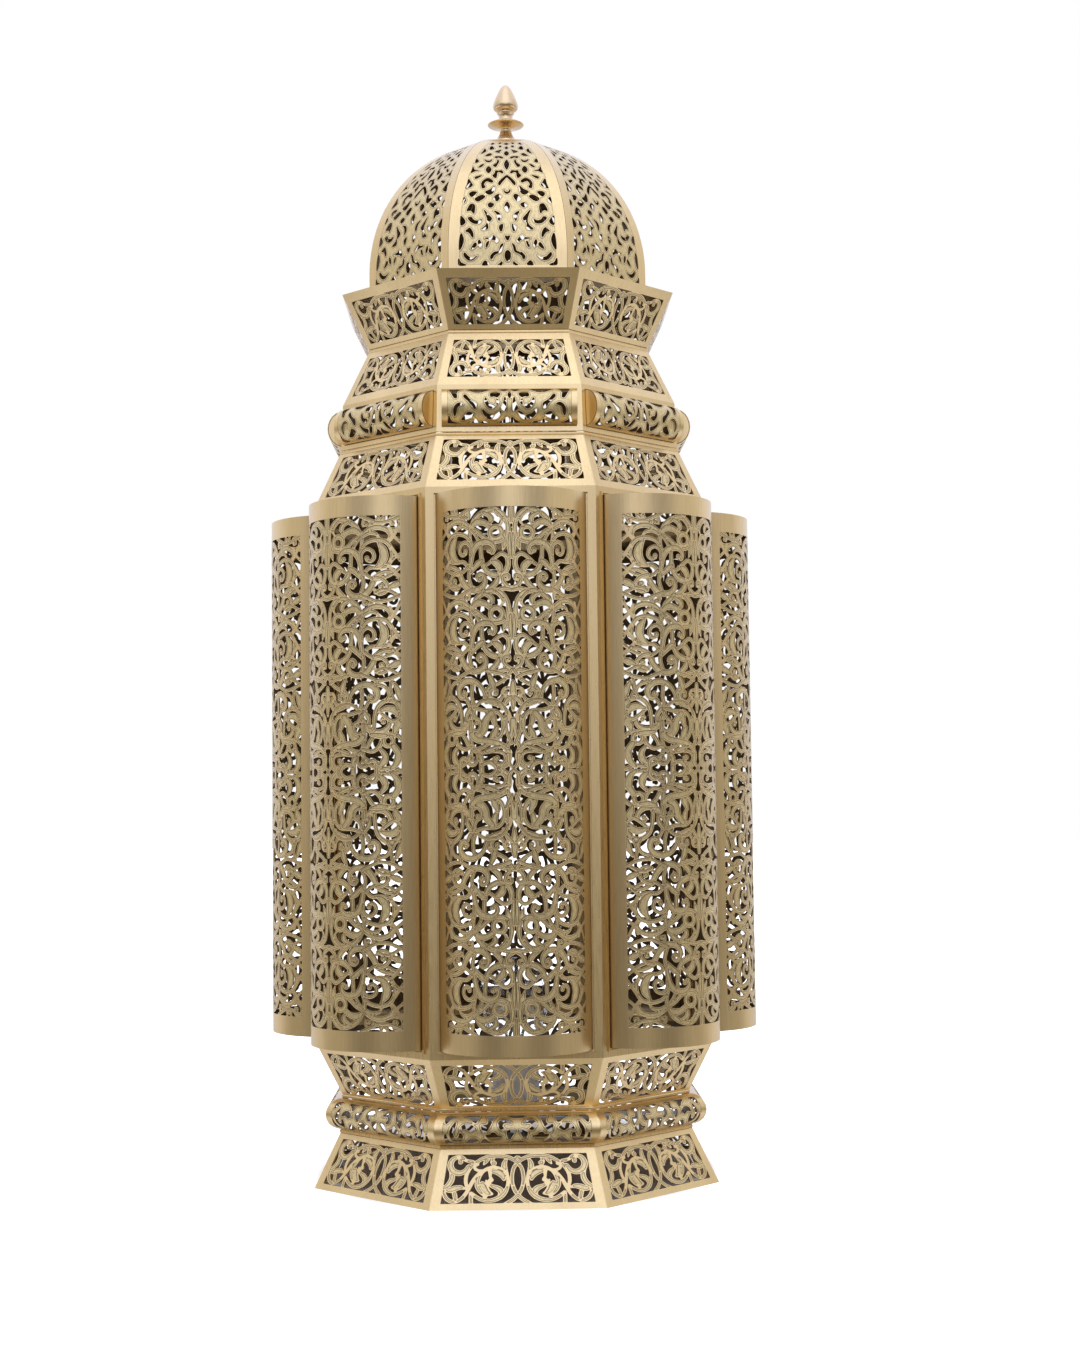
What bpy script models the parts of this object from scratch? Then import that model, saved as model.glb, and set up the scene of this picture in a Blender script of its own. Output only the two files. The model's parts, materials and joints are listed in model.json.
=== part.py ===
"""Free-standing octagonal brass lantern with a domed top, eight bowed side panels and a rear door.

Metres, +Z up. The origin is the centre of the footprint on the floor. Side 1 faces -Y, and the
sides are numbered anticlockwise seen from above, so side 5 faces +Y and carries the door.
"""

import math

import bmesh
import bpy
from mathutils import Matrix, Vector

# ---------------------------------------------------------------- driving dimensions
MM = 0.001
SIDES = 8
REAR = 5                               # the side with the door
HALF_TURN = math.pi / SIDES            # angle from the middle of a side to its corner
SHEET = 0.0012                         # wall of the flat bands
THIN_SHEET = 0.0010                    # wall of the curved panels
GAP = 0.0003                           # clearance between pieces that touch

# Folds of the casing, from the floor up: (height, distance from the axis to the flat).
FLOOR = (0.0000, 0.1578)
BASE_TOP = (0.0424, 0.1374)
LOWER_BEAD_TOP = (0.0694, 0.1355)
BODY_BOTTOM = (0.1085, 0.1547)
BODY_TOP = (0.5351, 0.1547)
SHOULDER_TOP = (0.5786, 0.1350)
UPPER_BEAD_TOP = (0.6172, 0.1333)
CROWN_BOTTOM = (0.6629, 0.1122)
CROWN_TOP = (0.7072, 0.1334)

# Raised seam mouldings
SEAM_HALF = 0.0015                     # half its height
SEAM_PROUD = 0.0012
SEAM_DEPTH = 0.0016
SEAM_ROOM = SEAM_HALF + GAP

# Flat foot inside the skirt, and the ledge that carries the dome
FOOT_INSET = 0.0025
FOOT_WIDTH = 0.0100
FOOT_WALL = 0.0015
LEDGE_WALL = 0.0020
LEDGE_REACH = 0.0080                   # how far the ledge runs in under the dome

# Body windows, their raised lips and the bowed panels that stand in them
WINDOW_HALF = 0.0577
WINDOW_LOW = 0.1140
WINDOW_HIGH = 0.5299
LIP = 0.0012                           # width and height of the lip around a window
BOW_HALF = 0.0565                      # half the chord of a bowed panel
BOW_STAND = 0.0020                     # chord in front of the flat side
BOW_REACH = 0.1968                     # axis to the crest of a bowed panel
BOW_RETURN = 0.0030                    # how far its edges run in behind the flat side
BOW_LOW = 0.1153
BOW_HIGH = 0.5286
BOW_STEPS = 14

# Lower bead: one hollow half-round moulding mitred round the corners
LOWER_BEAD_REACH = 0.1495
BEAD_STEPS = 9

# Upper bead: a frame with eight windows, each with a half-round panel
BEAD_WINDOW_HALF = 0.0518
BEAD_WINDOW_LOW = 0.5840
BEAD_WINDOW_HIGH = 0.6136
BEAD_HALF = 0.0515
BEAD_HALF_HEIGHT = 0.0145
BEAD_DEPTH = 0.0120
BEAD_RETURN = 0.0022

# Dome: upright skirt, then a quarter ellipse
DOME_APOTHEM = 0.1120
DOME_FOOT = 0.7063                     # on a ledge just inside the crown's top edge
DOME_SPRING = 0.7253
DOME_RISE = 0.1226
DOME_EYE = 0.0080                      # half-width of the hole under the finial
DOME_STEPS = 12
SEAT_HEIGHT = 0.0072                   # top of the dome to the underside of the finial

# Hinges and catch of the rear door, in the side's own frame: across the side, out from the axis
HINGE_ACROSS = 0.0605
HINGE_OUT = BODY_BOTTOM[1] + 0.0042
HINGE_HEIGHTS = (0.1900, 0.4500)
KNUCKLE = 0.0025                       # outer radius
KNUCKLE_BORE = 0.0016
KNUCKLE_LENGTH = 0.0140
PIN = 0.0012
ROD_PROUD = 0.0030                     # how far the rod passes the last knuckles
LEAF = 0.0012                          # thickness of the door leaf
CATCH_ACROSS = 0.0617
CATCH_HEIGHT = 0.3200
CATCH_OUT = 0.0035                     # flat of the side to the middle of the button
LUG_HALF = 0.0030

# Lamp
BAR_LOW = 0.0412
BAR_HIGH = 0.0437
BAR_HALF = 0.0120                      # half its width
BAR_HOLE = 0.0053                      # radius of its hole
BULB_SEAT = 0.0665
GLASS_WALL = 0.0008

# ---------------------------------------------------------------- scene and materials
for old in list(bpy.data.objects):
    bpy.data.objects.remove(old)

MATERIALS = {}


def make_material(name, color, metallic, roughness, alpha=1.0):
    material = bpy.data.materials.new(name)
    material.use_nodes = True
    shader = material.node_tree.nodes["Principled BSDF"]
    shader.inputs["Base Color"].default_value = (*color, 1.0)
    shader.inputs["Metallic"].default_value = metallic
    shader.inputs["Roughness"].default_value = roughness
    shader.inputs["Alpha"].default_value = alpha
    MATERIALS[name] = material


make_material("pierced_brass", (0.60, 0.49, 0.26), 1.0, 0.38)
make_material("plain_brass", (0.55, 0.43, 0.22), 1.0, 0.32)
make_material("turned_brass", (0.62, 0.47, 0.22), 1.0, 0.25)
make_material("plated_steel", (0.62, 0.62, 0.60), 1.0, 0.35)
make_material("porcelain", (0.85, 0.84, 0.80), 0.0, 0.20)
make_material("bulb_glass", (0.95, 0.97, 0.98), 0.0, 0.03, 0.35)
make_material("black_bush", (0.03, 0.03, 0.03), 0.0, 0.60)


def add_piece(name, shape, material, pivot=None, smooth=False):
    """Turns a bmesh in world coordinates into a named object, on its pivot if it moves."""
    bmesh.ops.remove_doubles(shape, verts=shape.verts, dist=1e-6)
    bmesh.ops.recalc_face_normals(shape, faces=shape.faces)
    if pivot is not None:
        bmesh.ops.translate(shape, verts=shape.verts, vec=-pivot.location)
    mesh = bpy.data.meshes.new(name)
    shape.to_mesh(mesh)
    shape.free()
    mesh.materials.append(MATERIALS[material])
    if smooth:
        mesh.shade_smooth()
        mesh.set_sharp_from_angle(angle=math.radians(35))
    piece = bpy.data.objects.new(name, mesh)
    bpy.context.scene.collection.objects.link(piece)
    piece.parent = pivot
    return piece


def add_pivot(name, place):
    pivot = bpy.data.objects.new(name, None)
    pivot.location = place
    bpy.context.scene.collection.objects.link(pivot)
    return pivot


# ---------------------------------------------------------------- shape helpers
def side_point(side, across, height, out):
    """A point on one side: across it, up, and out from the axis. Side 1 faces -Y."""
    turn = -math.pi / 2 + 2 * HALF_TURN * (side - 1)
    x = out * math.cos(turn) - across * math.sin(turn)
    y = out * math.sin(turn) + across * math.cos(turn)
    return Vector((x, y, height))


def add_loop(shape, points):
    return [shape.verts.new(point) for point in points]


def join_loops(shape, first, second, closed=True):
    """Quads between two rows of points."""
    steps = len(first) if closed else len(first) - 1
    for i in range(steps):
        j = (i + 1) % len(first)
        shape.faces.new((first[i], first[j], second[j], second[i]))


def swept_ring(section, count, start):
    """Sweeps a closed section of (radius, height) points round the axis in count straight steps."""
    shape = bmesh.new()
    rows = []
    for k in range(count):
        turn = start + 2 * math.pi * k / count
        row = [(r * math.cos(turn), r * math.sin(turn), z) for r, z in section]
        rows.append(add_loop(shape, row))
    for k in range(count):
        join_loops(shape, rows[k], rows[(k + 1) % count])
    return shape


def octagon_ring(section):
    """An octagonal band. The section's distances are from the axis to the flat."""
    corners = [(out / math.cos(HALF_TURN), z) for out, z in section]
    return swept_ring(corners, SIDES, -math.pi / 2 + HALF_TURN)


def round_ring(section, count=20):
    return swept_ring(section, count, 0.0)


def turned(profile, count=20):
    """A solid of revolution. The profile starts and ends on the axis."""
    shape = bmesh.new()
    first = shape.verts.new((0, 0, profile[0][1]))
    last = shape.verts.new((0, 0, profile[-1][1]))
    rows = []
    for r, z in profile[1:-1]:
        turns = [2 * math.pi * k / count for k in range(count)]
        rows.append(add_loop(shape, [(r * math.cos(t), r * math.sin(t), z) for t in turns]))
    for low, high in zip(rows, rows[1:]):
        join_loops(shape, low, high)
    for k in range(count):
        j = (k + 1) % count
        shape.faces.new((first, rows[0][j], rows[0][k]))
        shape.faces.new((last, rows[-1][k], rows[-1][j]))
    return shape


def prism(outline, low, high, hole=None):
    """An upright plate with an optional hole through it."""
    shape = bmesh.new()
    edges = []
    for loop in (outline, hole or []):
        row = add_loop(shape, [(x, y, low) for x, y in loop])
        edges += [shape.edges.new((row[i], row[(i + 1) % len(row)])) for i in range(len(row))]
    bmesh.ops.triangle_fill(shape, edges=edges, use_beauty=True, use_dissolve=False)
    grown = bmesh.ops.extrude_face_region(shape, geom=shape.faces[:])["geom"]
    moved = [item for item in grown if isinstance(item, bmesh.types.BMVert)]
    bmesh.ops.translate(shape, verts=moved, vec=(0, 0, high - low))
    return shape


def arc(centre, radius, start, end, steps):
    """Points on a circle arc, angles in degrees anticlockwise from +X."""
    points = []
    for i in range(steps + 1):
        turn = math.radians(start + (end - start) * i / steps)
        points.append((centre[0] + radius * math.cos(turn), centre[1] + radius * math.sin(turn)))
    return points


def in_millimetres(points, height=0.0):
    """Points drawn in millimetres, in metres, lifted by a height in metres."""
    return [(a * MM, height + b * MM) for a, b in points]


def circle(centre, radius, count):
    return arc(centre, radius, 0, 360, count)[:-1]


def half_ellipse(half_width, depth, steps):
    """From one side over the crest to the other: (across, out)."""
    turns = [math.pi * (i / steps - 0.5) for i in range(steps + 1)]
    return [(half_width * math.sin(t), depth * math.cos(t)) for t in turns]


def trough(outer, inner, length, wall, place):
    """An open-backed channel with closed ends. place(across, along, out) gives a point."""
    shape = bmesh.new()
    ends = []
    for profile, along in ((outer, length), (inner, length - wall)):
        low = add_loop(shape, [place(a, -along, o) for a, o in profile])
        high = add_loop(shape, [place(a, along, o) for a, o in profile])
        join_loops(shape, low, high, closed=False)
        shape.faces.new(low)
        shape.faces.new(high)
        ends.append((low[0], high[0], high[-1], low[-1]))
    join_loops(shape, ends[0], ends[1])
    return shape


def band(low, high):
    """A thin flat-sided octagonal band between two folds, leaving room at seams and folds."""
    (z0, a0), (z1, a1) = low, high
    lean = (a1 - a0) / (z1 - z0)
    wall = SHEET * math.sqrt(1 + lean * lean)
    return octagon_ring([(a0, z0), (a1, z1), (a1 - wall, z1), (a0 - wall, z0)])


def trimmed(low, high, cut_low, cut_high):
    """The fold pair moved in along the slope by the room that seams or neighbours need."""
    (z0, a0), (z1, a1) = low, high
    lean = (a1 - a0) / (z1 - z0)
    return (z0 + cut_low, a0 + lean * cut_low), (z1 - cut_high, a1 - lean * cut_high)


def windowed_band(low, high, window, lip):
    """An octagonal tube with a rectangular window in each side, with a raised lip if lip > 0."""
    (z0, a0), (z1, a1) = low, high
    half, w0, w1 = window
    shape = bmesh.new()

    def flat(z):
        return a0 + (a1 - a0) * (z - z0) / (z1 - z0)

    def frame(side, across, bottom, top, rise):
        spots = ((-across, bottom), (across, bottom), (across, top), (-across, top))
        return add_loop(shape, [side_point(side, u, z, flat(z) + rise) for u, z in spots])

    def corners(side, rise):
        spots = ((-1, z0), (1, z0), (1, z1), (-1, z1))
        reach = [(s * (flat(z) + rise) * math.tan(HALF_TURN), z) for s, z in spots]
        return add_loop(shape, [side_point(side, u, z, flat(z) + rise) for u, z in reach])

    for side in range(1, SIDES + 1):
        outside = corners(side, 0)
        inside = corners(side, -SHEET)
        loops = [outside]
        if lip:
            loops.append(frame(side, half + lip, w0 - lip, w1 + lip, 0))
            loops.append(frame(side, half + lip, w0 - lip, w1 + lip, lip))
        loops.append(frame(side, half, w0, w1, lip))
        loops.append(frame(side, half, w0, w1, -SHEET))
        loops.append(inside)
        for first, second in zip(loops, loops[1:]):
            join_loops(shape, first, second)
        shape.faces.new((outside[0], outside[1], inside[1], inside[0]))
        shape.faces.new((outside[2], outside[3], inside[3], inside[2]))
    return shape


# ---------------------------------------------------------------- casing bands
def add_seam(name, fold):
    z, a = fold
    back = a - SEAM_DEPTH
    front = arc((a, z), 1.0, -60, 60, 3)
    nose = [(a + SEAM_PROUD * (x - a), z + SEAM_HALF * (y - z)) for x, y in front]
    section = [(back, z - SEAM_HALF), *nose, (back, z + SEAM_HALF)]
    add_piece(name, octagon_ring(section), "plain_brass")


def add_bands():
    touch = GAP / 2
    base = trimmed(FLOOR, BASE_TOP, 0, SEAM_ROOM)
    add_piece("base_skirt", band(*base), "pierced_brass")
    lower = trimmed(LOWER_BEAD_TOP, BODY_BOTTOM, SEAM_ROOM, touch)
    add_piece("lower_cone", band(*lower), "pierced_brass")
    shoulder = trimmed(BODY_TOP, SHOULDER_TOP, touch, SEAM_ROOM)
    add_piece("shoulder_cone", band(*shoulder), "pierced_brass")
    upper = trimmed(UPPER_BEAD_TOP, CROWN_BOTTOM, touch, SEAM_ROOM)
    add_piece("upper_cone", band(*upper), "pierced_brass")
    crown = trimmed(CROWN_BOTTOM, CROWN_TOP, SEAM_ROOM, 0)
    add_piece("crown_band", band(*crown), "pierced_brass")

    body = trimmed(BODY_BOTTOM, BODY_TOP, touch, touch)
    window = (WINDOW_HALF, WINDOW_LOW, WINDOW_HIGH)
    add_piece("body_frame", windowed_band(*body, window, LIP), "plain_brass")
    bead = trimmed(SHOULDER_TOP, UPPER_BEAD_TOP, SEAM_ROOM, touch)
    window = (BEAD_WINDOW_HALF, BEAD_WINDOW_LOW, BEAD_WINDOW_HIGH)
    add_piece("upper_bead_frame", windowed_band(*bead, window, 0), "plain_brass")

    add_seam("base_seam_ring", BASE_TOP)
    add_seam("lower_cone_seam_ring", LOWER_BEAD_TOP)
    add_seam("shoulder_seam_ring", SHOULDER_TOP)
    add_seam("crown_seam_ring", CROWN_BOTTOM)


def add_lower_bead():
    z0 = BASE_TOP[0] + SEAM_ROOM
    z1 = LOWER_BEAD_TOP[0] - SEAM_ROOM
    middle = (z0 + z1) / 2
    back = (BASE_TOP[1] + LOWER_BEAD_TOP[1]) / 2
    outer = half_ellipse((z1 - z0) / 2, LOWER_BEAD_REACH - back, BEAD_STEPS)
    inner = half_ellipse((z1 - z0) / 2 - THIN_SHEET, LOWER_BEAD_REACH - back - THIN_SHEET, BEAD_STEPS)
    section = [(back + out, middle + up) for up, out in outer]
    section += [(back + out, middle + up) for up, out in reversed(inner)]
    add_piece("lower_bead", octagon_ring(section), "pierced_brass", smooth=True)


def add_base_rim():
    """A flat foot inside the skirt's bottom edge, which the lantern stands on."""
    outer = FLOOR[1] - FOOT_INSET
    inner = outer - FOOT_WIDTH
    section = [(outer, 0), (outer, FOOT_WALL), (inner, FOOT_WALL), (inner, 0)]
    add_piece("base_rim", octagon_ring(section), "plain_brass")


# ---------------------------------------------------------------- curved panels
def bow_circle():
    """Radius, centre and half angle of the bowed panels' outer circle."""
    flat = BODY_BOTTOM[1]
    rise = BOW_REACH - flat - BOW_STAND
    radius = (BOW_HALF**2 + rise**2) / (2 * rise)
    return radius, BOW_REACH - radius, math.asin(BOW_HALF / radius)


def bow_profile(radius):
    """One face of a bowed panel: a straight return, the arc, and the other return."""
    _, centre, half = bow_circle()
    turns = [half * (2 * i / BOW_STEPS - 1) for i in range(BOW_STEPS + 1)]
    curve = [(radius * math.sin(t), centre + radius * math.cos(t)) for t in turns]
    back = BODY_BOTTOM[1] - BOW_RETURN
    return [(curve[0][0], back), *curve, (curve[-1][0], back)]


def add_body_panels(door_pivot):
    radius = bow_circle()[0]
    outer = bow_profile(radius)
    inner = bow_profile(radius - THIN_SHEET)
    middle = (BOW_LOW + BOW_HIGH) / 2
    length = (BOW_HIGH - BOW_LOW) / 2
    for side in range(1, SIDES + 1):

        def place(across, along, out, side=side):
            return side_point(side, across, middle + along, out)

        is_door = side == REAR
        name = "door_panel" if is_door else f"body_panel_{side}"
        shape = trough(outer, inner, length, THIN_SHEET, place)
        add_piece(name, shape, "pierced_brass", door_pivot if is_door else None, smooth=True)


def add_bead_panels():
    middle = (BEAD_WINDOW_LOW + BEAD_WINDOW_HIGH) / 2
    flat = (SHOULDER_TOP[1] + UPPER_BEAD_TOP[1]) / 2

    def profile(inset):
        curve = half_ellipse(BEAD_HALF_HEIGHT - inset, BEAD_DEPTH - inset, 10)
        points = [(a, flat + o) for a, o in curve]
        back = flat - BEAD_RETURN
        return [(points[0][0], back), *points, (points[-1][0], back)]

    for side in range(1, SIDES + 1):

        def place(across, along, out, side=side):
            return side_point(side, along, middle + across, out)

        shape = trough(profile(0), profile(THIN_SHEET), BEAD_HALF, THIN_SHEET, place)
        add_piece(f"upper_bead_panel_{side}", shape, "pierced_brass", smooth=True)


# ---------------------------------------------------------------- dome
def dome_profile(inset):
    """(out to the flat, height) from the foot to the eye under the finial."""
    flat = DOME_APOTHEM - inset
    rise = DOME_RISE - inset
    last = math.acos(DOME_EYE / flat)
    turns = [last * i / DOME_STEPS for i in range(DOME_STEPS + 1)]
    curve = [(flat * math.cos(t), DOME_SPRING + rise * math.sin(t)) for t in turns]
    return [(flat, DOME_FOOT), *curve]


def add_dome():
    outer = dome_profile(0)
    inner = dome_profile(THIN_SHEET)
    for side in range(1, SIDES + 1):
        shape = bmesh.new()
        section = []
        for out, z in outer + inner[::-1]:
            half = out * math.tan(HALF_TURN) - GAP / 2
            section.append([side_point(side, sign * half, z, out) for sign in (-1, 1)])
        left = add_loop(shape, [pair[0] for pair in section])
        right = add_loop(shape, [pair[1] for pair in section])
        join_loops(shape, left, right)
        count = len(outer)
        for row in (left, right):
            for i in range(count - 1):
                j = 2 * count - 1 - i
                shape.faces.new((row[i], row[i + 1], row[j - 1], row[j]))
        add_piece(f"dome_gore_{side}", shape, "pierced_brass", smooth=True)


def add_dome_base_ring():
    """The ledge across the top of the crown, which the dome's gores stand on."""
    z1 = DOME_FOOT - GAP
    z0 = z1 - LEDGE_WALL
    inner = DOME_APOTHEM - LEDGE_REACH
    height = CROWN_TOP[0] - CROWN_BOTTOM[0]
    spread = CROWN_TOP[1] - CROWN_BOTTOM[1]
    behind = (SHEET + GAP) * math.hypot(height, spread) / height

    def outer(z):
        return CROWN_BOTTOM[1] + spread * (z - CROWN_BOTTOM[0]) / height - behind

    section = [(outer(z0), z0), (outer(z1), z1), (inner, z1), (inner, z0)]
    add_piece("dome_base_ring", octagon_ring(section), "plain_brass")


# ---------------------------------------------------------------- finial
def add_finial(pivot):
    """The seat, the turned finial and the stud, washer and nut under the dome, in millimetres."""
    top = DOME_SPRING + DOME_RISE
    seat = [(2.4, 0.2), (8.7, 0.2), (8.6, 4.7), (7.4, 5.6), (5.8, 6.9), (2.4, 6.9)]
    add_piece("finial_seat", round_ring(in_millimetres(seat, top)), "turned_brass", smooth=True)

    start = top + SEAT_HEIGHT
    # bore, stem, disc, neck, ring and teardrop
    outline = [
        (0, 12.0), (2.5, 12.0), (2.5, 0), (5.1, 0), (4.8, 2.2), (4.8, 6.6), (6.2, 9.0),
        (13.8, 9.7), (15.1, 10.6), (14.0, 11.5), (7.0, 12.4), (5.9, 14.6), (6.2, 16.6),
        (7.1, 17.6), (7.1, 18.6), (6.4, 19.3), (8.2, 19.9), (10.1, 22.2), (10.6, 24.8),
        (10.1, 28.4), (8.5, 33.0), (6.4, 37.6), (4.4, 41.4), (2.4, 44.0), (0, 44.9),
    ]
    profile = in_millimetres(outline, start)
    add_piece("finial", turned(profile), "turned_brass", pivot, smooth=True)

    stud = [(0, -22.0), (2.0, -22.0), (2.0, 18.2), (0, 18.2)]
    add_piece("finial_stud", turned(in_millimetres(stud, top), 16), "plated_steel", smooth=True)
    washer = [(2.4, -4.0), (13.0, -4.0), (13.0, -2.4), (2.4, -2.4)]
    add_piece("dome_washer", round_ring(in_millimetres(washer, top)), "plated_steel")
    nut = [(2.5, -8.8), (4.6, -8.8), (4.6, -4.3), (2.5, -4.3)]
    add_piece("dome_nut", swept_ring(in_millimetres(nut, top), 6, 0), "plated_steel")


# ---------------------------------------------------------------- rear door fittings
def on_rear(shape):
    """Moves a shape drawn as (across, out, up) onto side 5."""
    turn = Matrix(((-1, 0, 0, 0), (0, 1, 0, 0), (0, 0, 1, 0), (0, 0, 0, 1)))
    bmesh.ops.transform(shape, matrix=turn, verts=shape.verts)
    return shape


def add_hinges(pivot):
    flat = BODY_BOTTOM[1]
    centre = (HINGE_ACROSS, HINGE_OUT)
    bore = circle(centre, KNUCKLE_BORE, 12)
    foot_in = HINGE_ACROSS - 0.6 * MM
    foot_out = HINGE_ACROSS + 2.9 * MM
    foot = [(foot_in, flat + GAP), (foot_out, flat + GAP), (foot_out, flat + 2.5 * MM)]
    fixed = foot + arc(centre, KNUCKLE, 0, 251, 12)

    radius, middle, half = bow_circle()
    strap = [math.pi / 2 - half + math.radians(turn) for turn in (0, 3, 6.5, 10)]

    def on_bow(extra, turn):
        return (radius + extra) * math.cos(turn), middle + (radius + extra) * math.sin(turn)

    near = [on_bow(GAP, turn) for turn in reversed(strap)]
    far = [on_bow(GAP + LEAF, turn) for turn in strap]
    moving = arc(centre, KNUCKLE, -155, 155, 12) + far[1:] + near + far[:1]
    for number, height in enumerate(HINGE_HEIGHTS, start=1):
        top = height + KNUCKLE_LENGTH
        leaf = on_rear(prism(fixed, height, top, bore))
        add_piece(f"hinge_fixed_leaf_{number}", leaf, "turned_brass", smooth=True)
        leaf = on_rear(prism(moving, top + GAP, top + KNUCKLE_LENGTH, bore))
        add_piece(f"hinge_door_leaf_{number}", leaf, "turned_brass", pivot, smooth=True)
    low = HINGE_HEIGHTS[0] - ROD_PROUD
    high = HINGE_HEIGHTS[-1] + 2 * KNUCKLE_LENGTH + ROD_PROUD
    rod = on_rear(prism(circle(centre, PIN, 12), low, high))
    add_piece("hinge_rod", rod, "plated_steel", smooth=True)


def add_catch(door_pivot, catch_pivot):
    """A turn-button on the frame, whose short arm swings over a lug on the door's free edge."""
    flat = BODY_BOTTOM[1]
    stand = [
        (0, 0.3), (2.2, 0.3), (2.2, 2.2), (1.2, 2.2), (1.2, 4.6), (2.0, 4.6), (2.0, 5.4), (0, 5.8),
    ]
    stud = turned(in_millimetres(stand), 16)
    face_out = Matrix.Rotation(-math.pi / 2, 4, "X")
    seat = Matrix.Translation((CATCH_ACROSS, flat, CATCH_HEIGHT))
    bmesh.ops.transform(stud, matrix=seat @ face_out, verts=stud.verts)
    add_piece("catch_stud", stud, "turned_brass", smooth=True)

    outline = [(1.9, 0), (1.5, 5.0), (-1.5, 5.0), (-1.9, 0), (-1.1, -6.0), (1.1, -6.0)]
    button = prism(in_millimetres(outline), 2.9 * MM, 4.1 * MM, circle((0, 0), 1.5 * MM, 12))
    upright = Matrix(((1, 0, 0, 0), (0, 0, 1, 0), (0, 1, 0, 0), (0, 0, 0, 1)))
    bmesh.ops.transform(button, matrix=seat @ upright, verts=button.verts)
    add_piece("turn_catch", button, "turned_brass", catch_pivot)

    inner = BOW_HALF + GAP
    outer = WINDOW_HALF + 0.0013
    near, far = flat + 1.5 * MM, flat + 2.5 * MM
    lug = [(inner, near), (outer, near), (outer, far), (inner, far)]
    shape = prism(lug, CATCH_HEIGHT - LUG_HALF, CATCH_HEIGHT + LUG_HALF)
    add_piece("door_lug", shape, "turned_brass", door_pivot)


# ---------------------------------------------------------------- lamp
def add_ring(name, section, material, count=20, smooth=True):
    """A ring round the axis, from a section in millimetres of radius and height."""
    shape = swept_ring(in_millimetres(section), count, 0)
    add_piece(name, shape, material, smooth=smooth)


def add_lamp(pivot):
    """Cross bar, threaded tube, lampholder and bulb, in millimetres from the floor."""
    reach = BASE_TOP[1] - SEAM_DEPTH - GAP
    strap = [(-reach, -BAR_HALF), (reach, -BAR_HALF), (reach, BAR_HALF), (-reach, BAR_HALF)]
    bar = prism(strap, BAR_LOW, BAR_HIGH, circle((0, 0), BAR_HOLE, 16))
    add_piece("lamp_cross_bar", bar, "plated_steel")

    tube = [(3.5, 30), (4.85, 30), (4.85, 58), (3.5, 58)]
    add_ring("threaded_tube", tube, "plated_steel", 16)
    nut = [(6.0, 35.4), (8.1, 35.4), (8.1, 40.9), (6.0, 40.9)]
    add_ring("tube_nut", nut, "plated_steel", 6, smooth=False)
    bush = [(3.5, 25.2), (6.4, 25.2), (6.4, 29.7), (3.5, 29.7)]
    add_ring("cable_bush", bush, "black_bush", 16)
    cap = [
        (5.3, 44.0), (12.0, 44.0), (17.5, 46.5), (19.6, 50.5), (20.0, 56.0), (18.6, 56.0),
        (18.2, 51.4), (16.6, 48.2), (11.6, 46.0), (5.3, 46.0),
    ]
    add_ring("lampholder_cap", cap, "porcelain")
    sleeve = [(14.4, 56.3), (19.8, 56.3), (19.0, 70.0), (18.6, 92.0), (17.8, 94.0), (14.4, 94.0)]
    add_ring("lampholder_sleeve", sleeve, "porcelain")
    insert = [(0, 60.0), (14.0, 60.0), (14.0, 63.0), (3.0, 63.0), (3.0, 65.6), (0, 66.2)]
    add_piece("lampholder_contact", turned(in_millimetres(insert)), "plain_brass", smooth=True)

    cap = [(0, 0), (4.5, 0), (5.2, 1.6), (11.0, 4.0), (13.2, 5.4), (13.2, 26.2), (0, 26.2)]
    shape = turned(in_millimetres(cap, BULB_SEAT))
    add_piece("bulb_cap", shape, "plated_steel", pivot, smooth=True)

    globe = [
        (13.4, 26.5), (14.2, 32.0), (18.0, 41.0), (24.0, 51.0), (28.6, 61.0), (30.0, 72.0),
        (28.6, 83.0), (24.6, 92.0), (18.2, 98.8), (9.6, 103.2), (2.0, 104.4),
    ]
    outer = in_millimetres(globe, BULB_SEAT)
    crown = outer[-1][1]
    inner = [(max(r - GLASS_WALL, GLASS_WALL), min(z, crown - GLASS_WALL)) for r, z in outer]
    shape = turned([(0, crown), *outer[::-1], *inner, (0, crown - GLASS_WALL)])
    add_piece("bulb_glass", shape, "bulb_glass", pivot, smooth=True)


# ---------------------------------------------------------------- assembly
DOOR_PIVOT = add_pivot("door_pivot", side_point(REAR, HINGE_ACROSS, HINGE_HEIGHTS[0], HINGE_OUT))
CATCH_AXIS = side_point(REAR, -CATCH_ACROSS, CATCH_HEIGHT, BODY_BOTTOM[1] + CATCH_OUT)
CATCH_PIVOT = add_pivot("catch_pivot", CATCH_AXIS)
FINIAL_PIVOT = add_pivot("finial_pivot", (0, 0, DOME_SPRING + DOME_RISE))
BULB_PIVOT = add_pivot("bulb_pivot", (0, 0, BULB_SEAT))

add_bands()
add_lower_bead()
add_base_rim()
add_body_panels(DOOR_PIVOT)
add_bead_panels()
add_dome()
add_dome_base_ring()
add_finial(FINIAL_PIVOT)
add_hinges(DOOR_PIVOT)
add_catch(DOOR_PIVOT, CATCH_PIVOT)
add_lamp(BULB_PIVOT)
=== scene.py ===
"""Looks of the free-standing octagonal brass lantern: every sheet pierced and engraved, brass, lamp and light.

Each pierced sheet is drawn flat as scrolls or as holes, meshed flat, and then bent onto the outside of
its CAD node. Patterns are drawn for half a sheet, or a quarter, and mirrored.
"""

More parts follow.
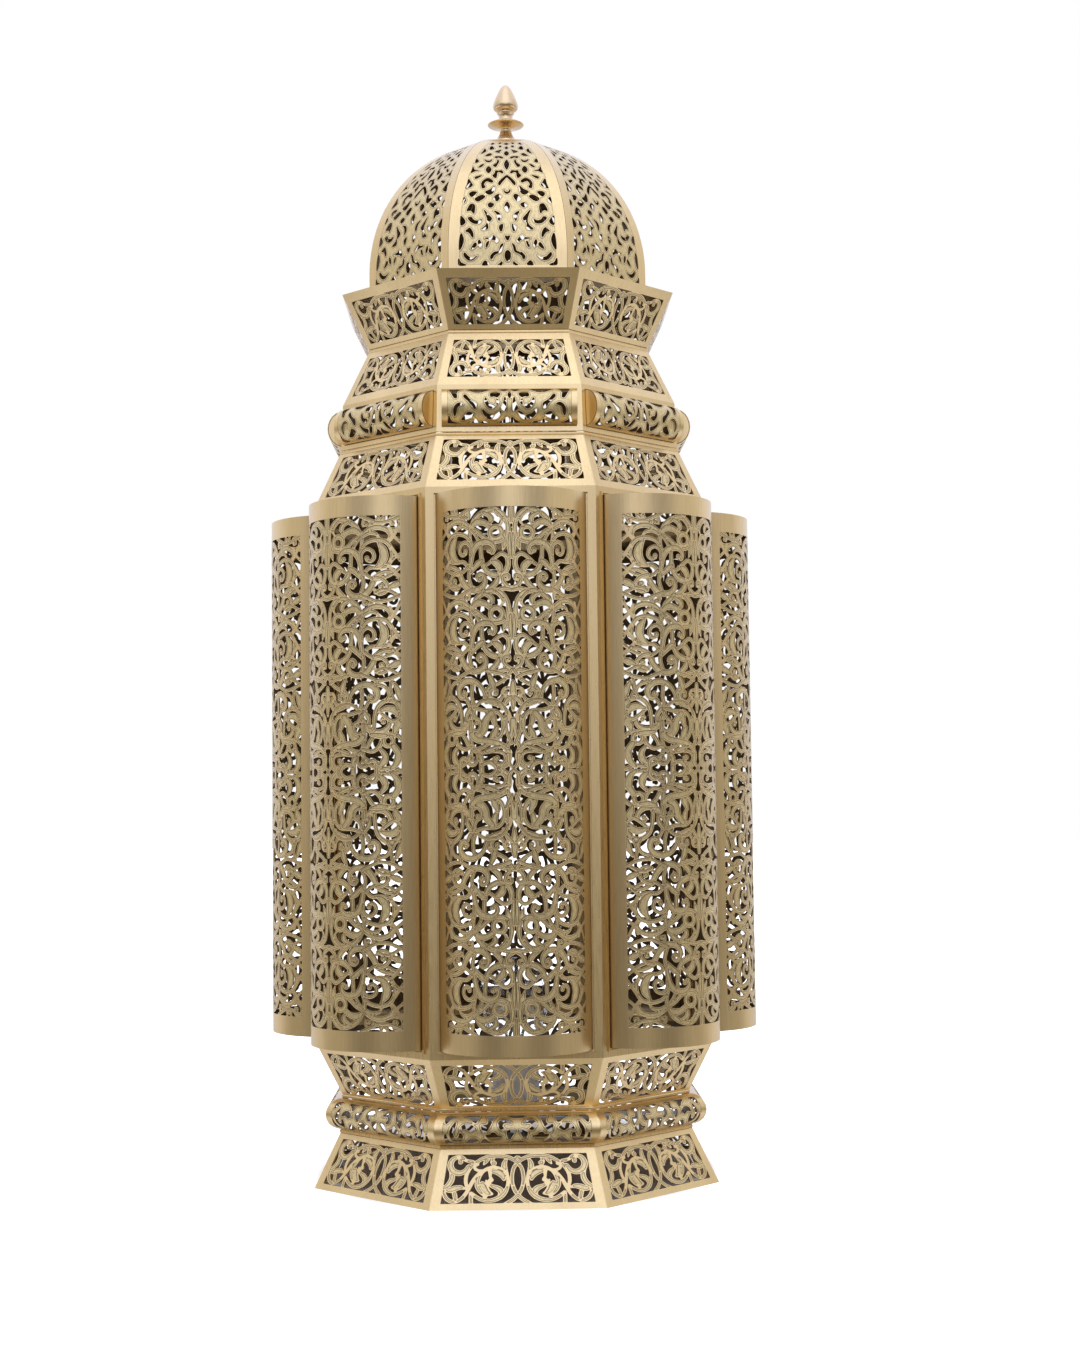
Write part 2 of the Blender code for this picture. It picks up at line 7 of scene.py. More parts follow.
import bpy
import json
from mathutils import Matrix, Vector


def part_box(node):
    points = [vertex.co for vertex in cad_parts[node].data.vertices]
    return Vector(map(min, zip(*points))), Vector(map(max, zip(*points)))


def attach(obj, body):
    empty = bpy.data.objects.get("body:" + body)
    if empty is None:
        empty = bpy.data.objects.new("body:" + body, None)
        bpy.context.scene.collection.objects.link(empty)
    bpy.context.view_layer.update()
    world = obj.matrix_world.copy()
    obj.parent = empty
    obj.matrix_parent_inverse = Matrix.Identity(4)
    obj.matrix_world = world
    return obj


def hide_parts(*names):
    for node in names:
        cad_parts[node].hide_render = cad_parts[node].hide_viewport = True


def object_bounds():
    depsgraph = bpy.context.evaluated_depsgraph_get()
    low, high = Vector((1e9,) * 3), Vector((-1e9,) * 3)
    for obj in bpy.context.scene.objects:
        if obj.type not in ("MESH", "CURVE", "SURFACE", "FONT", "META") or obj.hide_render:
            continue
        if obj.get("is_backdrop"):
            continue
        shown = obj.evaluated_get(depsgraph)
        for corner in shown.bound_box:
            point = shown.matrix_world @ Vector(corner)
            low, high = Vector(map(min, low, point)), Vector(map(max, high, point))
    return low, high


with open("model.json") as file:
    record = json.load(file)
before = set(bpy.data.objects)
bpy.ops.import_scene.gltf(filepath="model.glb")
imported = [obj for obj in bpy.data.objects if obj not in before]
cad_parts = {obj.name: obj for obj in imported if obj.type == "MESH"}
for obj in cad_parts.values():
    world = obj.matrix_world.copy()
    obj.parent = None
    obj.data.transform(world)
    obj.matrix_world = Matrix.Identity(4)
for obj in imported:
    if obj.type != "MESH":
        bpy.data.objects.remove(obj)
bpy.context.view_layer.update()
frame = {"nodes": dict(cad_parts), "record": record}

import json
import math

import bpy
import numpy as np
from mathutils import Matrix, Vector
from mathutils.geometry import delaunay_2d_cdt

# ---------------------------------------------------------------- driving values, in millimetres
SIDES = 8
SIDE_TURN = 2 * math.pi / SIDES
CORNER = math.tan(SIDE_TURN / 2)       # half the width of a flat side, for 1 from the axis
MM = 0.001

WALL = 1.2                             # of the flat bands
THIN_WALL = 1.0                        # of the curved sheets
SEAM = 0.3                             # the gap between the CAD's sheets, which solder fills on the real lantern
LEVEL = 0.05                           # how far apart points of one level may lie
HAIR = 0.02                            # the same where levels are close, and how far end plates lie inside the edge
SHARP = math.radians(50)               # edges that turn by more stay sharp

CELL = 0.25                            # grid step of the flat drawings
SCROLL_STEP = 0.7                      # step along a scroll's middle
HOLE_STEP = 0.4                        # and round a hole
EDGE_STEP = 1.0                        # spacing of points along a cut edge
RIM_STEP = 1.5                         # and along the foot of its raised rim
OUTLINE_STEP = 4.0                     # and along a sheet's outline and over its plain parts
CLEAR = 2.5                            # points over the plain parts keep this far from the cuts
SPECK_LOOP, SPECK_LINE = 2.4, 0.6      # contours shorter than this are dropped

RIM = 1.1                              # width of the raised rim beside every cut edge
RELIEF = 0.08                          # depth of the engraved ground beside the rims
CROSSING = 0.35                        # how near to an overlapping scroll's edge its raised line starts
UNDER = 4.0                            # that line is so many times narrower on the scroll that passes under
FADE = 0.6                             # the engraving runs out into the plain border over this
INNER = -1.0                           # mark of a sheet's inner face, where 0 to 1 is the depth in the outer one
THINNER = 0.8                          # the scrolls come out this much narrower than drawn
WIDER = 0.3                            # and the holes this much wider on every side
BESIDE_SCROLL, BESIDE_HOLE = 1.6, 3.0  # how far beside a scroll or a hole distances are kept
FAR = 9.0                              # a distance larger than any that counts

HALF_UNITS = 50.0                      # band patterns are drawn with a side's half width as 50
FOLD_LINE = 49.3                       # and the sheet starts to turn over the fold here
BAND_ZONE = 44.3                       # where the pattern stops across
BAND_TOP, BAND_HEIGHT = 6.0, 36.4      # and its top and height as drawn
# node, plain strip above the pattern, height of the pattern, drawn upside down
BANDS = [
    ("base_skirt", 4.0, 36.4, False),
    ("lower_cone", 5.0, 35.5, True),
    ("shoulder_cone", 3.5, 36.5, False),
    ("upper_cone", 6.0, 35.5, True),
    ("crown_band", 7.5, 36.0, False),
]
LOWER_BEAD_ZONE = (45.0, 7.0, 31.8)    # where the holes stop across, at the top and at the bottom
UPPER_BEAD_ZONE = (47.5, 6.0, 36.8)
PANEL_ZONE = (61.0, 191.5)             # half width and half height of the pierced part
PANEL_DRAWN = 193.7                    # half height as drawn, from the top down to the mirror line
PANEL_UNIT = 60.0                      # the upper unit repeats after this
DOME_STRIP = 8.2                       # plain strip beside every rib
DOME_ZONE = (48.0, 186.2)              # where the holes start and stop, down from the dome's eye

# Sections of strips round a window, as (away from the panel's edge, behind the frame's front)
FLANGE = [(0.0, 1.8), (3.0, 1.8), (3.0, 2.8), (0.0, 2.8)]
DOOR_STOP = [(-2.5, 3.5), (3.6, 3.5), (3.6, 1.4), (4.8, 1.4), (4.8, 4.7), (-2.5, 4.7)]
ROUND = 72                             # flats round a turned piece
# Turned profiles, as radius and height above the node's foot, up the outside
FINIAL = [
    (2.6, 0.0), (6.9, 0.0), (6.2, 1.1), (5.5, 2.4), (5.0, 4.2), (4.8, 5.8), (5.1, 7.0), (6.2, 7.8), (9.2, 8.8),
    (12.6, 9.5), (14.5, 10.0), (15.1, 10.6), (14.7, 11.2), (12.4, 11.8), (8.8, 12.5), (6.8, 13.4), (5.9, 14.9),
    (5.7, 16.8), (5.9, 18.4), (6.5, 19.6), (7.2, 20.3), (7.3, 21.0), (7.0, 21.6), (6.9, 22.0), (7.9, 22.5),
    (9.2, 23.3), (10.1, 24.4), (10.5, 25.9), (10.4, 27.6), (9.9, 29.6), (9.2, 31.6), (8.4, 33.6), (7.5, 35.6),
    (6.6, 37.6), (5.7, 39.4), (4.8, 41.0), (3.9, 42.4), (3.0, 43.5), (2.0, 44.3), (1.0, 44.8), (0.0, 44.9),
]
FINIAL_SEAT = [
    (2.6, 0.0), (9.0, 0.0), (9.2, 0.5), (9.1, 2.4), (8.8, 3.7), (8.2, 4.8), (7.6, 5.8), (7.2, 6.7), (2.6, 6.7),
]

# Piercing patterns, in millimetres on the flattened sheet: x from the centre line, y down from the
# sheet's top edge. A scroll is (widths along it, points it runs through); one point is a dot.
# A hole is a closed outline through its points.
PANEL_END = [
    ((3.4, 4.0, 3.4), [(60, 12), (61, 5), (57.5, 1), (53.5, 3), (54.2, 7)]),
    ((4.4,), [(55.6, 6.2)]),
    ((3.8,), [(61, 9.5), (55, 11), (48, 9.5)]),
    ((1.8, 5.4, 4), [(44, -1), (44.5, 4), (41, 8.6)]),
    ((1.8, 5.4, 4), [(50, -1), (47.5, 4), (44, 8.6)]),
    ((3.4, 3.8), [(1.4, -3), (1.2, 12)]),
]
PANEL_UPPER = [
    ((4.2, 4.8, 5.0, 5.0, 4.2, 4.0, 5.2, 5.8, 1.6), [(31, 15), (27, 8), (20, 3.6), (12, 2.6), (6, 6), (3, 12),
     (2.6, 20), (4.5, 26.5), (6.5, 33)]),
    ((4.2, 6.4, 5.4, 4.8), [(31, 14), (26, 11), (20, 12), (15.5, 15.5)]),
    ((4.6,), [(16, 19.5), (14.7, 23), (11.5, 24.2), (8.3, 23), (7, 19.5), (8.3, 16.2), (11.5, 15), (14.7, 16.2),
     (16, 19.5)]),
    ((3.8, 4.4, 3.8), [(31, 15.5), (26, 18), (21, 22.5), (16, 25.7), (10, 26.2), (5, 24)]),
    ((3.8, 3.6, 1.8), [(12, 3), (8, 7), (6.6, 11), (9, 14.5)]),
    ((3.8, 5.2, 2.4), [(21, 4), (15.8, 7), (14.8, 10.5), (17, 13)]),
    ((4.0, 3.8, 3.8), [(31.5, 15), (32, 22), (30.5, 29), (30, 37), (32, 45), (33, 52), (31, 59)]),
    ((3.4, 3.4), [(31, 16), (27, 21), (24, 27)]),
    ((3.0, 3.8, 4.4, 5.8, 5.8, 4.8, 3.8), [(17, 33), (14, 34.5), (12.7, 30.5), (15.5, 27), (20, 26), (26, 28),
     (29.5, 33), (31, 40), (31.5, 45)]),
    ((4.8,), [(16.6, 32.6)]),
    ((3.8, 4.4, 5.4, 5.2, 4.4, 3.8, 3.8, 3.2), [(23, 29), (22.5, 38), (20, 46), (14, 50.5), (7, 50.5), (2.9, 45),
     (3, 38.5), (7, 35.2), (11.5, 37.5), (16, 41.5), (20, 44)]),
    ((3.0, 6.2, 6.4, 3.0), [(15, 40.5), (11.6, 42), (9.2, 44.8), (8.8, 49.4)]),
    ((3.6, 5.6, 3.0), [(21.5, 39.5), (25.6, 42), (31.5, 48.5)]),
    ((3.0, 3.4, 4.0, 5.2, 5.8, 5.8, 4.8, 4.0, 3.8), [(24.5, 55), (26.6, 52), (24, 49.2), (20.8, 51.2), (20, 56),
     (23, 60), (28, 61.5), (34, 60), (39, 54), (42, 47.5), (47, 44), (53, 43), (61, 46.5)]),
    ((4.8,), [(24, 53.6)]),
    ((3.8, 3.8, 3.2, 3.0), [(32, 14), (36.3, 11.5), (39, 7), (36.5, 3), (33, 4.2), (33, 8)]),
    ((4.4,), [(35.2, 6.9)]),
    ((3.8, 5.0, 4.4, 2.6), [(32, 14.5), (38, 10.3), (45, 9.3), (51, 11.5), (53.5, 16), (51, 20)]),
    ((3.8, 4.0, 2.0), [(33, 15.5), (38, 13.4), (43, 14.5), (46, 18.8)]),
    ((3.8, 4.0, 4.2, 4.0, 3.8, 3.8), [(32, 24), (36, 20.5), (43, 18.7), (50, 20.3), (54.3, 26), (54.5, 33),
     (51, 38.5), (45, 40), (38, 40), (33.5, 43.8)]),
    ((2.6, 7.0, 7.6, 6.0, 3.2), [(44.2, 20.5), (48, 26.5), (48.6, 32), (46, 37.3), (42, 40)]),
    ((3.4, 3.8, 3.8, 3.4), [(31.5, 34.5), (31.5, 29), (35.5, 25.5), (40, 27.5), (41.2, 32), (38.8, 35), (35.5, 34)]),
    ((4.6,), [(35.8, 32.4)]),
    ((3.6, 3.4, 3.4), [(33.5, 43.5), (37.5, 47), (43, 49), (49, 47.5), (55, 44.5), (61, 39.5)]),
    ((3.8, 3.8, 3.8, 3.4), [(41.5, 47), (47, 48.6), (51, 53), (50, 58), (45, 60), (41.5, 57)]),
    ((3.4, 3.6), [(50, 56.5), (46.5, 56.5), (45.6, 53.6)]),
    ((5.0,), [(46.6, 53.6)]),
    ((3.8, 6.4, 4.0), [(52, 55), (57, 53), (61, 51)]),
    ((3.2,), [(53, 10), (55.5, 15.5), (61, 20.5)]),
    ((3.2,), [(61, 5.5), (58.5, 11), (56, 15.5), (53, 19.5)]),
    ((3.2,), [(54.5, 25), (58, 30), (61, 34.5)]),
    ((3.2,), [(53.5, 35.5), (57, 32), (61, 29.5)]),
    ((3.2,), [(52, 38.8), (57, 43.5), (61, 49.5)]),
    ((3.6,), [(30, 0), (37, 3), (43, 5.5), (50, 5), (56, 3), (61, 0.5)]),
    ((3.4,), [(42, 59), (47, 56.5), (53, 57.5), (61, 62)]),
    ((3.0, 3.4, 3.8, 4.4), [(4.6, 54.6), (2.4, 54), (2.6, 51), (6, 51.6), (6.8, 55), (4.5, 58.4), (0.6, 61)]),
    ((3.8, 4.2, 4.8), [(0.5, 62), (5.5, 61), (9.5, 62), (13, 63.2)]),
    ((2.4, 5.2, 4.6), [(9.6, 50.5), (11.5, 56.5), (17, 61.5)]),
    ((3.4, 4.8, 3.4), [(1.2, 20), (1.4, 29), (0.8, 38)]),
]
PANEL_MIDDLE = [
    ((3.8, 3.8, 4.0, 4.0, 3.8), [(0.6, 0.5), (5, 7), (11, 11), (17, 13.5), (20.8, 18.5), (20, 23), (15, 25.5),
     (8, 28), (3.8, 32.5), (1.6, 39)]),
    ((3.8,), [(3, 6.5), (8, 4), (14, 2.5), (20, 1)]),
    ((2.8, 4.4, 5.4, 5.8), [(18, 3), (15.8, 8), (14.5, 12)]),
    ((3.2, 3.2, 3.0), [(0, 14.5), (5.5, 14.6), (7.8, 18), (5.4, 20.6)]),
    ((4.2,), [(5, 18.2)]),
    ((3.4, 4.0, 4.6, 4.0, 3.2), [(7.5, 20), (10, 23.4), (14.6, 23), (17.4, 19), (15.5, 15.2), (11.7, 16.2)]),
    ((4.8,), [(12.6, 18.4)]),
    ((4.4, 5.2, 3.8, 3.0), [(0, 10), (0.6, 18), (0.4, 26), (0, 31)]),
    ((3.0, 4.6, 3.4), [(8.2, 30), (4.5, 23.5), (1, 20.5)]),
    ((3.4, 3.8, 4.8, 5.8, 5.8, 5.3, 4.3, 3.4), [(20, 25), (21.3, 18), (25, 12), (31, 8.6), (38, 9), (42.8, 13.5),
     (42.4, 19), (38.8, 21), (36, 18)]),
    ((4.8,), [(38, 17.2)]),
    ((3.8, 3.8, 3.8, 4.8, 5.8, 5.8, 4.8, 4.2, 3.8, 3.2), [(31, 12), (31.5, 20), (30, 27), (31, 34), (35, 40.5),
     (41, 44.5), (47, 44), (51.5, 40), (51.8, 35.5), (48.4, 33.2), (45.6, 35.4)]),
    ((4.6,), [(47.4, 36.8)]),
    ((3.8, 4.0, 4.4, 5.2, 5.0, 4.4, 3.8, 3.4), [(40.3, 42), (41.3, 31), (44, 24.5), (50, 20.5), (56.5, 21.5),
     (60.3, 26.5), (60, 33), (55.5, 36.6), (50, 33.6), (44, 28.5)]),
    ((3.4, 5.8, 6.8, 3.6), [(45.2, 28.4), (50, 26.8), (54.8, 27.6), (58.6, 32)]),
    ((3.4,), [(29, 28), (24, 24), (17, 22.8), (10, 25), (5.6, 30), (3.6, 37)]),
    ((3.8, 3.8, 4.0), [(29.5, 28.5), (22, 30.5), (13.5, 31), (8.6, 35), (7.2, 42), (9, 48.5), (13, 52.5)]),
    ((5.8, 5.2, 2.6), [(15, 33), (14, 39), (12, 44)]),
    ((5.8, 6.8, 6.8, 5.2), [(16, 32.5), (20.5, 38), (21.8, 44), (26, 48.6), (31, 50)]),
    ((4.2, 6.4, 3.0), [(12, 43), (14, 48), (17, 52.5)]),
    ((3.8, 3.8, 3.8, 3.4), [(30.8, 31), (28.5, 36), (25, 38.5), (24.6, 43), (28, 46), (32, 43.5), (31, 40)]),
    ((4.4,), [(27.6, 39.4)]),
    ((3.8, 3.8), [(32.5, 38), (33, 48), (31.5, 57)]),
    ((4.0,), [(42, 45.5), (37.5, 51), (34.5, 56), (29.5, 59), (24, 58), (18, 55)]),
    ((5.8, 5.8, 5.8, 5.2, 4.8, 4.2, 3.8), [(32, 48), (27, 52), (18, 53.5), (10, 55.5), (5, 59), (3, 64.5), (4.6, 70),
     (10, 74)]),
    ((3.4, 3.4, 3.8, 3.4), [(31, 58.5), (24, 61.5), (14, 60.8), (7.4, 62), (5.6, 66.5), (8.4, 70.4), (13, 69.4),
     (14.4, 65.8)]),
    ((4.8,), [(12, 65.6)]),
    ((2.6, 4.2, 4.8), [(8.5, 56), (14, 58.6), (20, 60.6)]),
    ((3.8, 3.8, 3.8), [(31, 57), (33, 64), (38, 69.5), (45, 72), (53, 71.4), (61, 73.7)]),
    ((3.8, 4.8, 4.8), [(30, 59), (24.5, 65), (24, 73.7)]),
    ((3.4, 3.8, 3.4), [(27, 62), (27.6, 67.5), (31, 70.6), (35, 69), (35, 65), (32, 64)]),
    ((4.4,), [(31.6, 66.8)]),
    ((3.8, 4.4, 4.0), [(32, 57), (39, 58.8), (44.5, 55), (47, 49.5), (52, 46), (58, 47), (61, 50)]),
    ((4.2,), [(54.6, 51), (53.4, 54), (51, 55), (48.6, 54), (47.4, 51), (48.6, 48), (51, 47), (53.4, 48),
     (54.6, 51)]),
    ((3.4, 5.4, 6.4, 3.4), [(45, 57), (48.5, 62), (47.5, 67), (42, 72)]),
    ((5.8, 6.8, 4.0), [(55, 55), (58.5, 61), (57, 68), (53, 72)]),
    ((3.8, 5.8, 3.8), [(38, 46), (44, 47), (50, 47)]),
    ((3.0, 6.8, 5.0), [(55.5, 46), (57, 41), (61, 37.5)]),
    ((3.4, 6.8, 5.0), [(56, 8), (59.5, 15), (61, 20)]),
    ((3.8,), [(42, 8), (49, 10.5), (52, 16), (50, 21)]),
    ((3.4,), [(54, 5), (53, 13), (56, 21)]),
    ((3.6,), [(30, 0), (37, 3), (43, 5.5), (50, 5), (56, 3), (61, 0.5)]),
    ((3.8, 3.4), [(36, 22), (33, 28.5), (36, 34)]),
    ((2.2, 4.6, 4.0), [(37, 41), (36, 33.5), (32.5, 28.5)]),
    ((5.0, 4.2, 3.8), [(0.5, 38), (1.5, 48), (4.5, 58)]),
    ((3.6, 3.6), [(5.2, 35), (5, 45), (1.4, 55)]),
    ((3.0, 4.0, 4.4), [(0, 73.7), (3.4, 69), (3.6, 63)]),
    ((3.4, 4.6, 3.8), [(24, 70.5), (18.5, 68.6), (14.4, 70.6), (12.4, 73.7)]),
    ((3.2, 4.4, 3.8), [(35.5, 67), (39.4, 65.6), (42.4, 68.6), (42, 73.7)]),
]
BAND = [
    ((5.0,), [(0, 9.4)]),
    ((3.0, 3.8, 3.4, 1.8), [(18.4, 8.6), (19.2, 10.4), (20.2, 12), (21.2, 13.8)]),
    ((3.2, 3.2), [(15.6, 9), (16.0, 12)]),
    ((4.6,), [(14.9, 12.8)]),
    ((2.6, 4.2, 4.8, 3.6), [(7.0, 9.5), (8.2, 13), (8.2, 17), (6.8, 21)]),
    ((3.2, 5.2, 5.2, 3.0), [(16.5, 18.6), (12.6, 19.2), (9.4, 21.6), (8.2, 25.0)]),
    ((3.0, 2.8, 2.4, 3.4, 2.4), [(17.4, 17.5), (16.8, 20.5), (16.6, 23), (15.8, 25.4), (17.3, 26.8)]),
    ((2.4, 2.8, 3.4, 4.6, 5.0, 4.2), [(17.4, 25.4), (17.3, 27.6), (15.4, 29.6), (12.0, 31.2), (9.6, 34), (10.2, 38)]),
    ((2.0, 2.2, 2.2, 2.0), [(19.0, 25.4), (18.2, 29.5), (16.9, 33), (14.8, 35.6)]),
    ((4.0, 5.8, 5.0, 2.0), [(21.2, 27.6), (20.4, 31.2), (18.2, 34.8), (15.4, 36.0)]),
    ((3.0, 3.0), [(18.8, 36.4), (19.6, 39.5)]),
    ((3.2,), [(27.4, 34.8), (27.2, 39), (26.7, 44)]),
    ((2.6, 2.8, 2.8, 3.2, 4.2, 4.2, 3.6, 3.4, 3.0), [(9.5, 17.2), (6.9, 20.4), (5.8, 25), (6.3, 31), (8.7, 36),
     (12.8, 39.4), (17.8, 40.4), (22.8, 38.5), (27.4, 34.6)]),
    ((3.4, 3.2, 3.2, 3.4), [(0, 12.6), (2.4, 16.5), (3.4, 22), (3.3, 27.6), (2.0, 32.6), (0, 36.4)]),
    ((3.4, 3.6, 3.8, 3.8, 3.4, 3.2, 3.0, 2.8), [(0, 12.6), (3.2, 9.8), (8, 7.8), (14, 7.4), (20, 8.4), (25, 11.4),
     (28.8, 15.4), (31.0, 20.5), (31.2, 26), (29.6, 31.8)]),
    ((3.4, 3.6, 3.8), [(0, 36.4), (2.6, 39.6), (5.6, 42), (9, 44.6)]),
    ((3.2, 3.0, 3.0, 3.2, 3.6, 3.8, 3.4, 2.8), [(9.0, 18.2), (12.4, 16.2), (16, 15.8), (19.8, 17.4), (22.6, 20.8),
     (24.2, 25.5), (23.9, 30), (21.8, 34), (18.6, 37.2)]),
    ((2.8, 2.8, 2.8, 2.4), [(16.5, 15.9), (20, 17.9), (23.6, 18.2), (26.3, 16.6), (26.7, 13.6)]),
    ((3.4,), [(25.2, 13.6)]),
    ((3.0, 3.2, 3.2, 3.2, 3.2, 3.4, 3.4, 3.2, 3.0), [(20, 17.6), (23.6, 20.4), (26.6, 25), (28.5, 30), (30.4, 35),
     (33.2, 39.2), (37, 40.9), (40.9, 38.8), (43.2, 34.6), (44, 30)]),
    ((3.0, 3.6, 3.2), [(37.8, 33), (36.7, 36), (36, 39.6)]),
    ((2.0, 4.2, 5.4, 4.6, 3.0), [(31, 31.4), (34.2, 30.4), (37.4, 31.2), (40.4, 32.2), (43.4, 30.4)]),
    ((3.4, 4.0, 4.4, 4.2, 3.6), [(41, 17.5), (39.8, 22), (40.2, 26), (42.2, 29.5), (45, 31)]),
    ((3.6, 3.0, 3.6, 4.2, 4.6, 4.8, 4.8, 4.2, 3.4), [(28.2, 11.6), (32.3, 10.4), (36, 7.8), (40.3, 9), (41.9, 13),
     (40.2, 17.6), (36, 19.9), (32.4, 18.4), (30.4, 14.6)]),
    ((3.0, 3.0, 3.8), [(37.6, 7.6), (36.2, 9.4), (35.7, 11.8)]),
]
UPPER_BEAD = [
    [(0, 10), (1.3, 12.6), (0, 15.8)],
    [(1.6, 6.2), (6.8, 6.2), (6.2, 8), (4, 9.2), (2.2, 8)],
    [(7, 12), (9, 10.7), (13.5, 10.7), (14.8, 12.5), (14, 14.6), (11.5, 14.2), (9.2, 15)],
    [(16.5, 6.2), (31, 6.2), (28.5, 9.4), (24, 10.5), (20, 9.6)],
    [(38, 6.2), (45.5, 6.2), (44, 11), (41.8, 15.3), (39.9, 15), (40.1, 10.5)],
    [(33.6, 12.3), (34.8, 14.5), (30.5, 19), (26.6, 24), (25.3, 21.5), (25.8, 19.5), (30, 16.8)],
    [(35.2, 20.9), (38, 19.3), (41, 21), (42.6, 25), (41.8, 29.8), (40.6, 27), (39.8, 23.2), (37.5, 21.4)],
    [(27.4, 28.3), (31, 26.4), (33, 28.4), (36.6, 32), (35, 33.2), (31.5, 32.2), (28.2, 30.4)],
    [(18.3, 15.3), (18.7, 18.5), (17, 22), (14, 23.9), (11.2, 22.2), (13, 20.8), (15.4, 20.4), (16.8, 18)],
    [(6.6, 26), (9.5, 27.3), (11, 29.6), (12.6, 32.8), (10.2, 32.6), (8, 30)],
    [(12.6, 29.4), (17, 27.7), (20.4, 24.6), (19.8, 28), (17, 31.7), (14.6, 32.4), (13.2, 31)],
    [(3.6, 14.8), (4.6, 19), (5.4, 21.5), (6.3, 24), (3, 25.6), (2.6, 21), (2.8, 17.5)],
    [(8.6, 17.4), (10, 16.4), (9.4, 18.6), (9.8, 21), (8.4, 20)],
    [(0.7, 33), (2, 30.8), (4.5, 33), (8, 36.2), (1.2, 36.4)],
    [(16.5, 36.4), (20.3, 34.2), (21.6, 36.4)],
    [(26, 32.1), (26.8, 34), (30, 36.2), (23, 36.4), (24.2, 34.8)],
    [(40, 36.4), (44.3, 33.5), (46, 29.3), (46.7, 33), (46.6, 36.4)],
]
LOWER_BEAD = [
    [(0, 7.6), (4.4, 7.6), (2.8, 9.6), (0, 9.6)],
    [(13.6, 7.8), (18.2, 7.8), (17.2, 12), (18.4, 15.2), (21.5, 15.2), (20.9, 18.8), (19.7, 21.2), (16.6, 16.5),
     (15, 11.5)],
    [(23.5, 7.8), (31.6, 7.8), (28.5, 10.4), (24.9, 13.6), (23.9, 10.5)],
    [(3.4, 14.4), (6, 11.4), (8.6, 10.7), (11, 13), (11.2, 16), (9.2, 19.2), (7.3, 18.6), (9, 16.5), (8.2, 14.1),
     (6, 14)],
    [(1.7, 19.2), (5.3, 19.4), (6, 22), (5, 26.6), (3.2, 24)],
    [(9, 24), (12, 23), (14.5, 20.6), (16.2, 22.4), (19, 22.9), (17, 26), (14.5, 27.2), (11, 26.4)],
    [(24.8, 17.8), (29, 14.5), (32.6, 15.2), (34.2, 18.6), (31, 17.7), (28, 19.8), (27, 18.8)],
    [(37.3, 12.8), (39.8, 17.5), (40.6, 22), (39.4, 27), (36.2, 28.8), (33.6, 26.4), (32.9, 23), (34.4, 21.2),
     (35.6, 24.8), (37.8, 24.6), (38.8, 20.4), (37.5, 17)],
    [(38, 7.8), (43.6, 7.8), (42.9, 13.8), (40.5, 10.4)],
    [(24, 27.8), (25.3, 24.6), (28, 25), (30.6, 28.6), (32.6, 31.2), (28, 31.2), (26.2, 28.6)],
    [(20, 25.6), (21.5, 28.6), (21.8, 31.2), (15.4, 31.2), (18.2, 28.6)],
    [(0, 28.8), (2.6, 28.4), (4.7, 31.2), (0, 31.2)],
    [(43.2, 21.4), (44, 26), (43.6, 31.2), (36.6, 31.2), (41, 28.4)],
]
